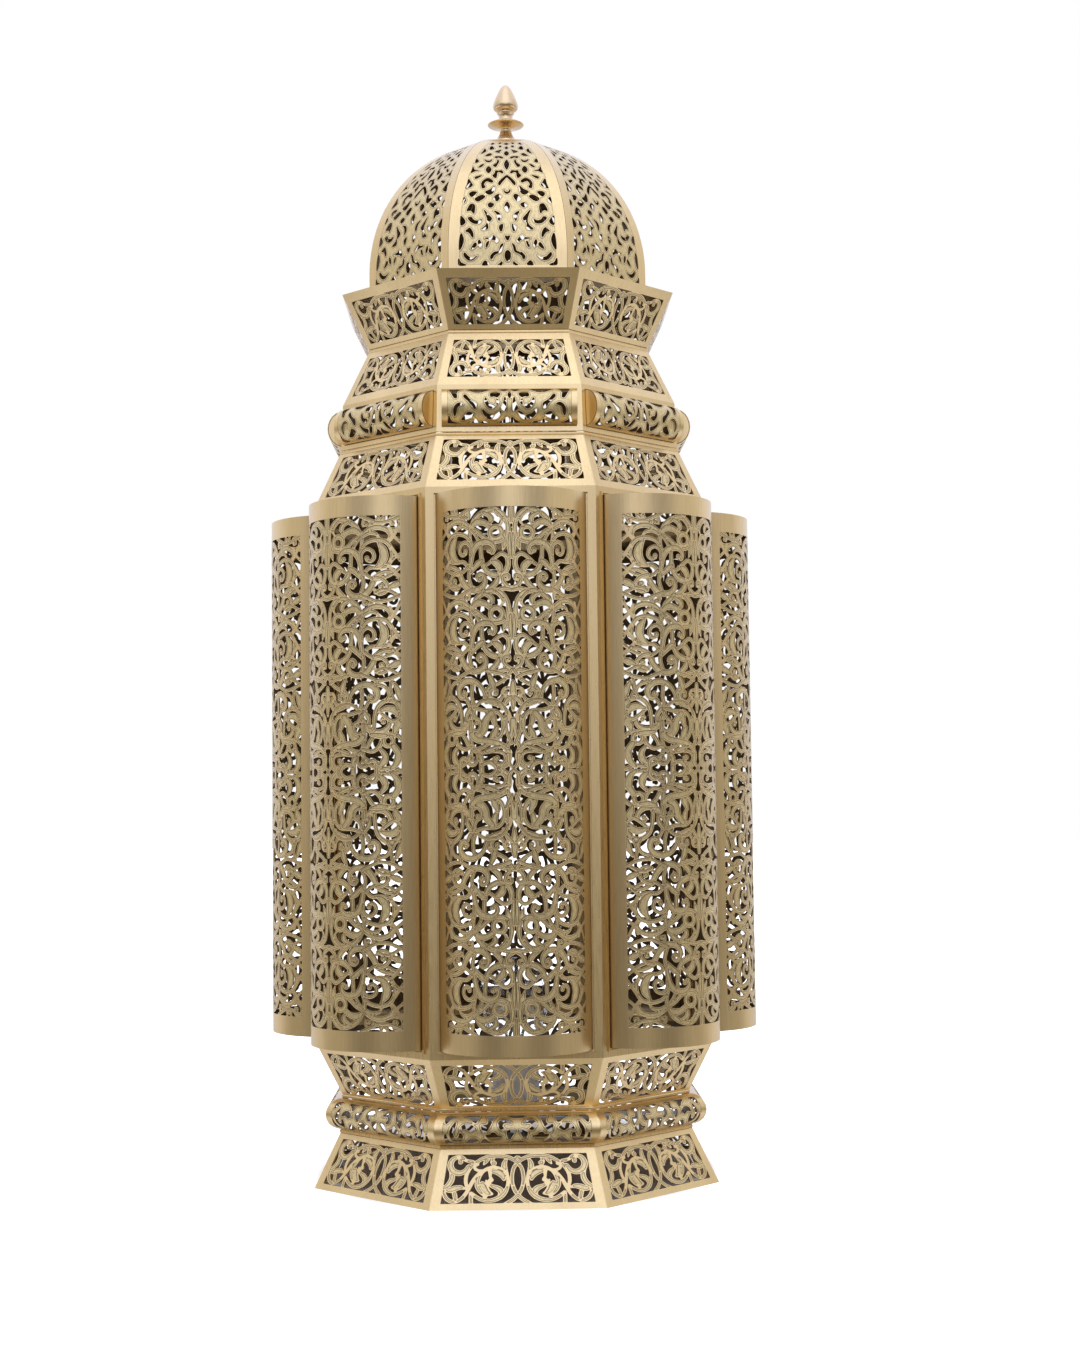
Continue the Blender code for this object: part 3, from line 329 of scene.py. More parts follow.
DOME = [
    [(0, 174.4), (1.9, 176), (2.2, 179.4), (1.2, 182.4), (0, 182.9), (0.2, 180), (0.2, 177)],
    [(4.6, 183.2), (6, 184.6), (8, 186), (4.6, 186)],
    [(3.4, 168.9), (5.6, 170.6), (7, 175), (10.6, 175.9), (13.7, 179.4), (12.2, 181.6), (10.8, 178.6), (8.4, 177),
     (5.4, 175.4), (4.4, 171.6)],
    [(15.4, 184.6), (17.8, 182.6), (20, 186), (15.4, 186)],
    [(23.6, 178.6), (26.4, 180), (30, 179.6), (33.6, 176.2), (34.2, 178.6), (31, 182), (27.4, 182)],
    [(38.2, 180.8), (38.2, 186), (32.4, 186), (36.4, 184)],
    [(36.2, 160.6), (37.6, 166), (37.8, 174), (35.4, 170.6), (34.2, 165.6)],
    [(29.4, 156), (31.4, 157.4), (32.8, 158.8), (30, 160), (28.4, 162.4), (26.9, 164.2), (27, 160)],
    [(22.2, 165.8), (23, 168.4), (21, 172), (20.6, 168.6)],
    [(25, 168.2), (26.6, 169.4), (28.6, 173.4), (26.2, 172.4), (24.2, 170.2)],
    [(11.4, 162.2), (13.4, 164), (18, 164.6), (13.6, 165.6), (10.2, 166.2), (8.6, 168), (7.6, 166)],
    [(14.6, 167), (16.6, 168.8), (17, 172.2), (15.4, 170.4)],
    [(0, 163.2), (1.8, 162.6), (1.2, 165.2), (0, 166.4)],
    [(3.8, 152.8), (6.6, 155), (5.2, 159.2), (3.8, 156.6)],
    [(10.4, 141.4), (8.2, 144.2), (7.4, 147.4), (6.7, 150.4), (5.2, 146.6), (6.6, 143)],
    [(18.2, 140.4), (17, 144), (15.8, 148), (15.4, 151.6), (12.2, 148.4), (14.8, 144.6)],
    [(15.8, 151.8), (17.2, 154.2), (20.2, 157), (18, 157.6), (15.2, 156.6)],
    [(20.2, 148.6), (23.4, 150), (26.6, 149), (28.2, 146.6), (30.8, 147.8), (27.6, 151.6), (24, 152.6),
     (21.2, 151.4)],
    [(36.3, 145.8), (36.4, 153.8), (32.8, 151)],
    [(25.4, 136.4), (28.2, 134.8), (30.2, 137.4), (31.5, 141.4), (28.4, 141), (26, 143.6)],
    [(10.4, 135.6), (13, 133.6), (15.4, 136), (13, 138.4)],
    [(0, 133), (1.9, 136.4), (1.6, 139), (0, 142)],
    [(17.4, 128.4), (20, 126.4), (25.2, 130), (22.6, 132.6)],
    [(5, 127.6), (7.8, 132.4), (10.6, 129.4), (7.2, 125.6)],
    [(33.9, 128.6), (34.8, 134.6), (32.3, 131.6)],
    [(9.8, 117.4), (13, 120.6), (17, 123.4), (13.8, 126.2), (10.8, 124)],
    [(23.8, 123.8), (27, 122.9), (29.7, 125), (27.8, 128.2)],
    [(0, 123.6), (1.2, 123.2), (2.4, 120.8), (2.3, 123.6), (0, 125.4)],
    [(11, 111.8), (14.6, 108.7), (18.2, 110.8), (20, 114.6), (19.4, 119.6), (17, 118.4), (18.2, 115.6), (16, 112.2),
     (12.2, 113.8)],
    [(30.2, 109.8), (31.2, 115), (32.4, 120), (27.2, 117), (28.2, 113.4)],
    [(0, 105.6), (0.5, 105.6), (4, 109.6), (6.6, 113.8), (6, 116.6), (3, 112), (0.6, 108.2), (0, 108)],
    [(19.6, 105.6), (22.6, 106.2), (25.2, 107.6), (24.6, 109.6), (22, 108)],
    [(2.8, 103), (4, 99.6), (6.4, 100.2), (8.8, 99.8), (9.4, 103), (11.2, 105.8), (8.8, 108.8), (7.8, 105.4),
     (7.6, 102.4), (5.6, 101.8), (4.2, 103)],
    [(14.2, 94.4), (16.4, 98.8), (14.4, 102.8), (12.2, 98.8)],
    [(26.7, 94.8), (27.4, 98.6), (28.4, 102.6), (25, 100.6), (21.8, 100.4), (25.6, 98.6)],
    [(0, 85.6), (1.8, 91), (1.4, 95), (0, 98.6)],
    [(7, 85.2), (7.8, 89.4), (10.6, 92.8), (9, 95.4), (7.2, 91.8), (6.2, 87.8)],
    [(18, 91.4), (20.2, 92.4), (22.4, 95.8), (20.2, 95.2)],
    [(23.8, 83.8), (24.9, 89.4), (22.2, 88)],
    [(11.6, 84.6), (13.2, 86.4), (15.4, 86.4), (17.4, 84.8), (15.6, 88.6), (12.8, 88.2)],
    [(2.8, 82.4), (4.6, 80), (9.2, 80.2), (8.4, 82.8), (6, 81.8), (4, 83.4)],
    [(11.8, 76.4), (13.8, 74.8), (17, 79.2), (13.6, 79)],
    [(0, 71), (1.8, 75), (0, 79)],
    [(17.4, 65.8), (18.4, 70), (20.2, 75.4), (16.4, 71)],
    [(4, 67.8), (8.9, 71.6), (5.8, 74.2), (5, 71)],
    [(11.8, 60), (13.2, 64), (12.8, 68), (9.8, 66)],
    [(0, 61), (1.2, 64), (0, 67)],
    [(5, 58.2), (6, 60.8), (5, 63.2), (4.1, 60.8)],
    [(10.8, 49.8), (12.4, 55.6), (10.2, 54.4)],
    [(0, 51), (1.6, 54), (0, 56.6)],
    [(4.4, 49), (6.2, 51.6), (5, 54)],
]


# ---------------------------------------------------------------- drawing on the flat
def spline(points, step=SCROLL_STEP):
    """Catmull-Rom through the points, sampled about every step, and the share of the way at each sample."""
    p = np.array(points, float)
    if len(p) == 1:
        return np.vstack([p, p + [1e-3, 0]]), np.array([0.0, 1.0])
    ends = np.vstack([2 * p[0] - p[1], p, 2 * p[-1] - p[-2]])
    if len(p) > 3 and np.allclose(p[0], p[-1]):
        ends[0], ends[-1] = p[-2], p[1]
    rows, where = [], []
    for i in range(len(p) - 1):
        a, b, c, d = ends[i:i + 4]
        n = max(2, int(np.ceil(np.linalg.norm(c - b) / step)))
        t = np.arange(n)[:, None] / n
        rows.append(0.5 * (2 * b + (c - a) * t + (2 * a - 5 * b + 4 * c - d) * t**2 + (3 * b - a - 3 * c + d) * t**3))
        where.append((i + t[:, 0]) / (len(p) - 1))
    return np.vstack(rows + [p[-1:]]), np.concatenate(where + [[1.0]])


def paint(field, line, half, keep):
    """Distance to a line of varying half width, where it is less than keep, as a window into the field."""
    ny, nx = field.shape
    reach = half.max() + keep
    low = np.maximum(((line.min(0) - reach) / CELL).astype(int), 0)
    high = np.minimum(((line.max(0) + reach) / CELL).astype(int) + 2, (nx, ny))
    if (low >= high).any():
        return None
    window = (slice(low[1], high[1]), slice(low[0], high[0]))
    near = np.full((high[1] - low[1], high[0] - low[0]), FAR)
    for a, b, ra, rb in zip(line, line[1:], half, half[1:]):
        reach = max(ra, rb) + keep
        i0 = max(low[0], int((min(a[0], b[0]) - reach) / CELL))
        i1 = min(high[0], int((max(a[0], b[0]) + reach) / CELL) + 2)
        j0 = max(low[1], int((min(a[1], b[1]) - reach) / CELL))
        j1 = min(high[1], int((max(a[1], b[1]) + reach) / CELL) + 2)
        if i0 >= i1 or j0 >= j1:
            continue
        x = np.arange(i0, i1) * CELL - a[0]
        y = (np.arange(j0, j1) * CELL - a[1])[:, None]
        v = b - a
        s = np.clip((x * v[0] + y * v[1]) / max(v @ v, 1e-9), 0, 1)
        d = np.hypot(x - s * v[0], y - s * v[1]) - (ra + s * (rb - ra))
        part = near[j0 - low[1]:j1 - low[1], i0 - low[0]:i1 - low[0]]
        np.minimum(part, d, out=part)
    return window, near


def draw_scrolls(scrolls, shape):
    """(cut, line): cut is negative on metal, and line is the distance to the nearest scroll edge that shows."""
    cut = np.full(shape, FAR)
    line = np.full(shape, FAR)
    for widths, points in scrolls:
        path, t = spline(points)
        half = 0.5 * (np.interp(t, np.linspace(0, 1, len(widths)), widths) - THINNER)
        drawn = paint(cut, path, half, BESIDE_SCROLL)
        if drawn is None:
            continue
        window, near = drawn
        cut[window] = np.minimum(cut[window], near)
        line[window] = np.where(near < 0, -near, np.minimum(line[window], near * UNDER))
    return cut, line


def draw_holes(holes, shape):
    """The same for a pattern drawn as holes, which has no lines but the cut edges."""
    cut = np.full(shape, -FAR)
    for points in holes:
        on_axis = points[0][0] == 0 and points[-1][0] == 0
        loop = points + [(-x, y) for x, y in reversed(points[1:-1])] if on_axis else list(points)
        path, _ = spline(loop + loop[:1], HOLE_STEP)
        window, near = paint(cut, path, np.zeros(len(path)), BESIDE_HOLE)
        x = np.arange(window[1].start, window[1].stop) * CELL
        y = (np.arange(window[0].start, window[0].stop) * CELL)[:, None]
        inside = np.zeros(near.shape, bool)
        for (ax, ay), (bx, by) in zip(path, path[1:]):
            if ay != by:
                inside ^= ((y >= ay) != (y >= by)) & (x < ax + (y - ay) * (bx - ax) / (by - ay))
        near = np.where(inside, near, -near) + WIDER
        cut[window] = np.maximum(cut[window], near)
    return cut, np.full(shape, FAR)


def sample(field, points):
    """Bilinear look-up at (x, y) points."""
    x = np.clip(points[:, 0] / CELL, 0, field.shape[1] - 1.001)
    y = np.clip(points[:, 1] / CELL, 0, field.shape[0] - 1.001)
    i, j = x.astype(int), y.astype(int)
    u, v = x - i, y - j
    low = field[j, i] * (1 - u) + field[j, i + 1] * u
    high = field[j + 1, i] * (1 - u) + field[j + 1, i + 1] * u
    return low * (1 - v) + high * v


def contours(field, level):
    """Lines of one level across the grid, each closed or running off its edge."""
    f = field - level
    f = np.where(np.abs(f) < 1e-4, 1e-4, f)
    ny, nx = f.shape
    inside = f < 0
    across = inside[:, 1:] != inside[:, :-1]
    down = inside[1:] != inside[:-1]
    spot = {}
    for j, i in np.argwhere(across):
        spot[(0, j, i)] = ((i + f[j, i] / (f[j, i] - f[j, i + 1])) * CELL, j * CELL)
    for j, i in np.argwhere(down):
        spot[(1, j, i)] = (i * CELL, (j + f[j, i] / (f[j, i] - f[j + 1, i])) * CELL)
    links = {key: [] for key in spot}
    busy = across[1:] | across[:-1] | down[:, 1:] | down[:, :-1]
    for j, i in np.argwhere(busy):
        top, bottom, left, right = (0, j, i), (0, j + 1, i), (1, j, i), (1, j, i + 1)
        met = [key for key in (top, right, bottom, left) if key in spot]
        if len(met) == 4:
            same = (f[j:j + 2, i:i + 2].mean() < 0) == inside[j, i]
            pairs = ((top, right), (bottom, left)) if same else ((top, left), (bottom, right))
        else:
            pairs = (met,)
        for a, b in pairs:
            links[a].append(b)
            links[b].append(a)
    lines, seen = [], set()
    starts = [key for key in spot if len(links[key]) == 1] + list(spot)
    for start in starts:
        if start in seen:
            continue
        chain, key = [start], start
        seen.add(start)
        while True:
            ahead = [k for k in links[key] if k not in seen]
            if not ahead:
                break
            key = ahead[0]
            seen.add(key)
            chain.append(key)
        if len(links[start]) == 2 and len(chain) > 2:
            chain.append(start)
        lines.append(np.array([spot[k] for k in chain]))
    return lines


def evenly(line, step):
    """The line resampled to about one step between points. Specks are dropped."""
    gone = np.concatenate([[0], np.cumsum(np.hypot(*np.diff(line, axis=0).T))])
    closed = np.allclose(line[0], line[-1])
    if gone[-1] < (SPECK_LOOP if closed else SPECK_LINE):
        return None
    count = max(5 if closed else 1, int(round(gone[-1] / step)))
    at = np.linspace(0, gone[-1], count + 1)
    return np.stack([np.interp(at, gone, line[:, k]) for k in (0, 1)], 1)


# ---------------------------------------------------------------- meshing on the flat
def flat_mesh(cut, line, outline, inside, plain, fold=()):
    """Triangles over the metal of a flat drawing.

    Returns points, triangles, and how deep each point lies in the engraving from 0 to 1.
    outline is a closed row of points, inside tells which points lie in it, plain is the distance in
    from the plain border, negative on it, and fold is a row of points beside a fold, so that the sheet
    shades as if it turned there in a small radius.
    """
    edge = np.minimum(-cut, line)
    points, joins = [], []

    def add(row, closed):
        first = len(points)
        points.extend(map(tuple, row))
        joins.extend((k, k + 1) for k in range(first, len(points) - 1))
        if closed:
            joins.append((len(points) - 1, first))

    for row in contours(cut, 0.0):
        row = evenly(row, EDGE_STEP)
        if row is not None:
            closed = np.allclose(row[0], row[-1])
            add(row[:-1] if closed else row, closed)
    add(outline, True)
    outlined = len(joins)              # only cut edges and the outline are walls between pieces
    if fold:
        add(evenly(np.array(fold, float), OUTLINE_STEP), False)
    x, y = np.meshgrid(np.arange(cut.shape[1]) * CELL, np.arange(cut.shape[0]) * CELL)
    border = np.maximum(plain(np.stack([x.ravel(), y.ravel()], 1)).reshape(cut.shape), cut + 1.0)
    crossing = np.maximum(line, 3 * CROSSING + cut)
    for field, level in ((edge, RIM), (crossing, CROSSING), (border, FADE), (border, 0.0)):
        for row in contours(field, level):
            row = evenly(row, RIM_STEP)
            if row is not None:
                closed = np.allclose(row[0], row[-1])
                add(row[:-1] if closed else row, closed)
    size = np.array(cut.shape[::-1]) * CELL
    x, y = np.meshgrid(*(np.arange(OUTLINE_STEP, limit, OUTLINE_STEP) for limit in size))
    spots = np.stack([x.ravel(), y.ravel()], 1)
    points.extend(map(tuple, spots[(sample(cut, spots) < -CLEAR) & inside(spots, 1.0)]))

    found = delaunay_2d_cdt([Vector(p) for p in points], joins, [], 0, 1e-4)
    verts = np.array([tuple(v) for v in found[0]])
    tris = np.array(found[2])
    walls = set()
    for (a, b), origin in zip(found[1], found[4]):
        if any(k < outlined for k in origin):
            walls.add((min(a, b), max(a, b)))

    # group triangles that touch without a wall between them, then keep the largest group of metal
    owner = {}
    root = list(range(len(tris)))

    def top(k):
        while root[k] != k:
            root[k] = root[root[k]]
            k = root[k]
        return k

    for k, tri in enumerate(tris.tolist()):
        for a, b in ((tri[0], tri[1]), (tri[1], tri[2]), (tri[2], tri[0])):
            key = (min(a, b), max(a, b))
            if key in owner and key not in walls:
                root[top(k)] = top(owner[key])
            owner.setdefault(key, k)
    group = np.array([top(k) for k in range(len(tris))])
    a, b, c = (verts[tris[:, k]] for k in range(3))
    area = 0.5 * np.abs((b - a)[:, 0] * (c - a)[:, 1] - (b - a)[:, 1] * (c - a)[:, 0])
    middle = (a + b + c) / 3
    depth = np.where(inside(middle, 0.0), -sample(cut, middle), -FAR)
    _, back = np.unique(group, return_inverse=True)
    metal = np.bincount(back, area * depth) > 0
    sizes = np.bincount(back, area)
    main = np.argmax(np.where(metal, sizes, 0))
    tris = tris[back == main]
    used, tris = np.unique(tris, return_inverse=True)
    tris = tris.reshape(-1, 3)
    verts = verts[used]
    deep = np.clip(sample(edge, verts) / RIM, 0, 1) * np.clip(plain(verts) / FADE, 0, 1)
    return verts, tris, deep


def mirrored(verts, tris, deep, axis):
    """The mesh and its mirror image, welded where they meet."""
    other = verts.copy()
    other[:, axis] *= -1
    verts = np.vstack([verts, other])
    tris = np.vstack([tris, tris[:, ::-1] + len(other)])
    deep = np.concatenate([deep, deep])
    _, first, back = np.unique(verts.round(3) + 0.0, axis=0, return_index=True, return_inverse=True)
    return verts[first], back.reshape(-1)[tris], deep[first]


def rim_edges(tris):
    """Edges with a triangle on one side only, in that triangle's direction."""
    edges = np.vstack([tris[:, (0, 1)], tris[:, (1, 2)], tris[:, (2, 0)]])
    key = np.sort(edges, axis=1)
    key = key[:, 0].astype(np.int64) * (tris.max() + 1) + key[:, 1]
    _, first, count = np.unique(key, return_index=True, return_counts=True)
    return edges[first[count == 1]]


def sheet_mesh(verts, tris, deep, place, wall, open_edge=None):
    """A closed sheet: an engraved outer face, a plain inner face, and walls along every edge.

    place(points, depth) bends the flat points, depth millimetres behind the outer face. Edges for which
    open_edge(points) is true at both ends get no wall, because a neighbour is welded on there.
    """
    outer = place(verts, deep * RELIEF)
    inner = place(verts, np.full(len(verts), wall))
    edges = rim_edges(tris)
    if open_edge is not None:
        shut = open_edge(verts)
        edges = edges[~(shut[edges[:, 0]] & shut[edges[:, 1]])]
    n = len(verts)
    a, b = edges[:, 0], edges[:, 1]
    sides = np.vstack([np.stack([b, a, a + n], 1), np.stack([b, a + n, b + n], 1)])
    faces = np.vstack([tris, tris[:, ::-1] + n, sides])
    return np.vstack([outer, inner]), faces, np.concatenate([deep, np.full(n, INNER)])


def rotated(points, turn):
    """Points turned about the lantern's axis."""
    c, s = math.cos(turn), math.sin(turn)
    return np.stack([c * points[:, 0] - s * points[:, 1], s * points[:, 0] + c * points[:, 1], points[:, 2]], 1)


def make_mesh(name, verts, faces, deep, material):
    """A Blender mesh in metres, its faces pointing out, with the engraving depth as an attribute."""
    a, b, c = (verts[faces[:, k]] for k in range(3))
    if np.einsum("ij,ij->i", a, np.cross(b, c)).sum() < 0:
        faces = faces[:, ::-1]
    mesh = bpy.data.meshes.new(name)
    mesh.vertices.add(len(verts))
    mesh.vertices.foreach_set("co", (verts * MM).astype(np.float32).ravel())
    mesh.loops.add(len(faces) * 3)
    mesh.loops.foreach_set("vertex_index", faces.astype(np.int32).ravel())
    mesh.polygons.add(len(faces))
    mesh.polygons.foreach_set("loop_start", np.arange(0, len(faces) * 3, 3, dtype=np.int32))
    mesh.update()
    depth = mesh.attributes.new("engraved", "FLOAT", "POINT")
    depth.data.foreach_set("value", deep.astype(np.float32))
    mesh.materials.append(material)
    mesh.shade_smooth()
    mesh.set_sharp_from_angle(angle=SHARP)
    return mesh


def add_object(name, mesh, body, *nodes, slot="pierced_brass", side=1):
    """A piece that rides on a body in place of CAD nodes, turned from the front to one of the sides."""
    piece = bpy.data.objects.new(name, mesh)
    bpy.context.scene.collection.objects.link(piece)
    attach(piece, body)
    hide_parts(*nodes)
    if side > 1:
        piece.matrix_world = Matrix.Rotation(SIDE_TURN * (side - 1), 4, "Z")


# ---------------------------------------------------------------- sheets
def cad_points(node):
    """Vertices of a CAD node, in millimetres."""
    return np.array([v.co for v in frame["nodes"][node].data.vertices], float) / MM


def band_ends(node):
    """(height, distance from the axis to the flat) outside, at an octagonal band's foot and top."""
    points = cad_points(node)
    found = []
    for z in (points[:, 2].min(), points[:, 2].max()):
        level = points[np.abs(points[:, 2] - z) < LEVEL]
        found.append((z, -level[:, 1].min()))
    return found


def closed_ends(node):
    """band_ends, with the seams to the neighbours above and below closed."""
    (z0, a0), (z1, a1) = band_ends(node)
    return (max(z0 - SEAM, 0.0), a0), (z1 + SEAM, a1)


def outline_row(widths, heights):
    """Closed outline of a half sheet whose width is given at rows of heights, from the centre line out."""
    def between(a, b):
        count = max(1, int(round(math.dist(a, b) / OUTLINE_STEP)))
        return [(a[0] + (b[0] - a[0]) * k / count, a[1] + (b[1] - a[1]) * k / count) for k in range(count)]

    corners = [(0, heights[0])] + list(zip(widths, heights)) + [(0, heights[-1])]
    row = []
    for a, b in zip(corners, corners[1:] + corners[:1]):
        row += between(a, b)
    return row


def drawing(width, height, plain, scrolls=(), holes=()):
    """(cut, line) over a half sheet. A plain border closes scrolls off, and no line runs out over it."""
    shape = (int(round(height / CELL)) + 1, int(round(width / CELL)) + 1)
    cut, line = draw_holes(holes, shape) if holes else draw_scrolls(scrolls, shape)
    x, y = np.meshgrid(np.arange(shape[1]) * CELL, np.arange(shape[0]) * CELL)
    border = plain(np.stack([x.ravel(), y.ravel()], 1)).reshape(shape)
    if not holes:
        cut = np.minimum(cut, border)
    return cut, np.where(border > 0, line, FAR)


def moved(scrolls, dy=0.0, sy=1.0):
    """Scrolls with y scaled and then shifted."""
    return [(widths, [(x, y * sy + dy) for x, y in points]) for widths, points in scrolls]


def ellipse_arc(half, deep, count=361):
    """Arc length, out and up along a half ellipse, from its top to its bottom."""
    turn = np.linspace(math.pi / 2, -math.pi / 2, count)
    out, up = deep * np.cos(turn), half * np.sin(turn)
    gone = np.concatenate([[0], np.cumsum(np.hypot(np.diff(out), np.diff(up)))])
    return gone, out, up


def along(gone, out, up, at, depth):
    """Point at an arc length on a profile, depth behind it, as (out, up)."""
    o, u = np.interp(at, gone, out), np.interp(at, gone, up)
    step = 0.2
    do = np.interp(at + step, gone, out) - np.interp(at - step, gone, out)
    du = np.interp(at + step, gone, up) - np.interp(at - step, gone, up)
    size = np.maximum(np.hypot(do, du), 1e-9)
    return o + depth * du / size, u - depth * do / size


def joined_octagon(flat, place, wall, half_width):
    """Eight copies of a flat side, bent into place and welded at the corners."""
    points = flat[0]
    verts, faces, deep = sheet_mesh(*flat, place, wall, lambda p: np.abs(p[:, 0]) > half_width - 1e-3)
    n, count = len(points), len(verts)
    left, right = (np.flatnonzero(sign * points[:, 0] > half_width - 1e-3) for sign in (-1, 1))
    left, right = (row[np.argsort(points[row, 1])] for row in (left, right))
    welded = np.arange(count * SIDES).reshape(SIDES, count)
    for layer in (0, n):
        welded[:, left + layer] = np.roll(welded[:, right + layer], 1, axis=0)
    faces = np.vstack([row[faces] for row in welded])
    verts = np.vstack([rotated(verts, SIDE_TURN * k) for k in range(SIDES)])
    used, faces = np.unique(faces, return_inverse=True)
    return verts[used], faces.reshape(-1, 3), np.tile(deep, SIDES)[used]


def octagonal_piece(node, length, wall, plain, place, material, **pattern):
    """A pierced sheet that runs round the lantern in eight flat-sided lengths."""
    def inside(p, margin):
        return (p[:, 0] < HALF_UNITS - margin) & (p[:, 1] > margin) & (p[:, 1] < length - margin)

    cut, line = drawing(HALF_UNITS, length, plain, **pattern)
    outline = outline_row((HALF_UNITS, HALF_UNITS), (0, length))
    fold = [(FOLD_LINE, 0), (FOLD_LINE, length)]
    flat = mirrored(*flat_mesh(cut, line, outline, inside, plain, fold), axis=0)
    mesh = make_mesh(node + "_pierced", *joined_octagon(flat, place, wall, HALF_UNITS), material)
    add_object(node + "_pierced", mesh, "lantern", node)


def build_band(node, top, height, upside_down, material):
    """A flat-sided octagonal band. The pattern stands top millimetres below its upper edge."""
    (z0, a0), (z1, a1) = closed_ends(node)
    length = math.hypot(z1 - z0, a1 - a0)
    stretch = height / BAND_HEIGHT
    scrolls = moved(BAND, top - BAND_TOP * stretch, stretch)
    if upside_down:
        scrolls = moved(BAND, top + (BAND_TOP + BAND_HEIGHT) * stretch, -stretch)

    def plain(p):
        return np.minimum(BAND_ZONE - p[:, 0], np.minimum(p[:, 1] - top, top + height - p[:, 1]))

    def place(p, depth):
        share = p[:, 1] / length
        out = a1 + (a0 - a1) * share - depth * length / (z1 - z0)
        up = z1 + (z0 - z1) * share
        return np.stack([p[:, 0] / HALF_UNITS * CORNER * out, -out, up], 1)

    octagonal_piece(node, length, WALL, plain, place, material, scrolls=scrolls)


def build_lower_bead(material):
    """The half-round moulding over the base, mitred at its corners."""
    node = "lower_bead"
    (z0, back), (z1, _) = closed_ends(node)
    reach = -cad_points(node)[:, 1].min()
    gone, out, up = ellipse_arc((z1 - z0) / 2, reach - back)
    across, top, bottom = LOWER_BEAD_ZONE

    def plain(p):
        return np.minimum(across - p[:, 0], np.minimum(p[:, 1] - top, bottom - p[:, 1]))

    def place(p, depth):
        o, u = along(gone, out, up, p[:, 1], depth)
        o = back + o
        return np.stack([p[:, 0] / HALF_UNITS * CORNER * o, -o, (z0 + z1) / 2 + u], 1)

    octagonal_piece(node, gone[-1], THIN_WALL, plain, place, material, holes=LOWER_BEAD)


def outward(verts, faces):
    """Faces turned so that a shell's volume counts positive."""
    a, b, c = (verts[faces[:, i]] - verts.mean(0) for i in range(3))
    return faces if np.einsum("ij,ij->i", a, np.cross(b, c)).sum() > 0 else faces[:, ::-1]


def plate(outline, place, thick):
    """A thin flat plate. outline is a row of (a, b) points and place(points, depth) puts them in space."""
    points = np.vstack([outline, np.mean(outline, axis=0)])
    n = len(outline)
    k = np.arange(n)
    j = (k + 1) % n
    fan = np.stack([k, j, np.full(n, n)], 1)
    sides = np.vstack([np.stack([j, k, k + n + 1], 1), np.stack([j, k + n + 1, j + n + 1], 1)])
    faces = np.vstack([fan, fan[:, ::-1] + n + 1, sides])
    verts = np.vstack([place(points, 0.0), place(points, thick)])
    return verts, outward(verts, faces)


def with_plates(sheet, plates):
    """The sheet with plates added to its mesh."""
    verts, faces, deep = sheet
    faces = outward(verts, faces)
    for more, its_faces in plates:
        faces = np.vstack([faces, its_faces + len(verts)])
        verts = np.vstack([verts, more])
        deep = np.concatenate([deep, np.zeros(len(more))])
    return verts, faces, deep


def build_upper_beads(material):
    """Eight half-round panels, each a pierced sheet with closed ends."""
    node = "upper_bead_panel_1"
    low, high = (np.array(corner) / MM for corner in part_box(node))
    half_length = high[0]
    points = cad_points(node)
    top_row = points[(points[:, 2] > high[2] - LEVEL) & (points[:, 0] > 0)]
    back, chord = -top_row[:, 1].max(), -top_row[:, 1].min()
    gone, out, up = ellipse_arc((high[2] - low[2]) / 2, -low[1] - chord)
    turn_in = chord - back
    middle = (low[2] + high[2]) / 2
    gone = np.concatenate([[-turn_in], gone, [gone[-1] + turn_in]]) + turn_in
    out = np.concatenate([[-turn_in], out, [-turn_in]])
    up = np.concatenate([up[:1], up, up[-1:]])
    length = gone[-1]
    across, top, bottom = UPPER_BEAD_ZONE
    holes = [[(x, y + turn_in) for x, y in hole] for hole in UPPER_BEAD]

    def plain(p):
        y = p[:, 1] - turn_in
        return np.minimum(across - p[:, 0], np.minimum(y - top, bottom - y))

    def inside(p, margin):
        return (p[:, 0] < half_length - margin) & (p[:, 1] > margin) & (p[:, 1] < length - margin)

    def place(p, depth):
        o, u = along(gone, out, up, p[:, 1], depth)
        return np.stack([p[:, 0], -chord - o, middle + u], 1)

    cut, line = drawing(half_length, length, plain, holes=holes)
    outline = outline_row((half_length, half_length), (0, length))
    flat = mirrored(*flat_mesh(cut, line, outline, inside, plain), axis=0)
    sheet = sheet_mesh(*flat, place, THIN_WALL)
    inset = THIN_WALL / 2
    row = np.stack(along(gone, out, up, np.linspace(0, length, 25), inset), 1)
    plates = []
    for sign in (-1, 1):
        def end(p, depth, sign=sign):
            x = np.full(len(p), sign * (half_length - HAIR - depth))
            return np.stack([x, -chord - p[:, 0], middle + p[:, 1]], 1)

        plates.append(plate(row, end, THIN_WALL))
    mesh = make_mesh("upper_bead_pierced", *with_plates(sheet, plates), material)
    for side in range(1, SIDES + 1):
        add_object(f"upper_bead_pierced_{side}", mesh, "lantern", f"upper_bead_panel_{side}", side=side)


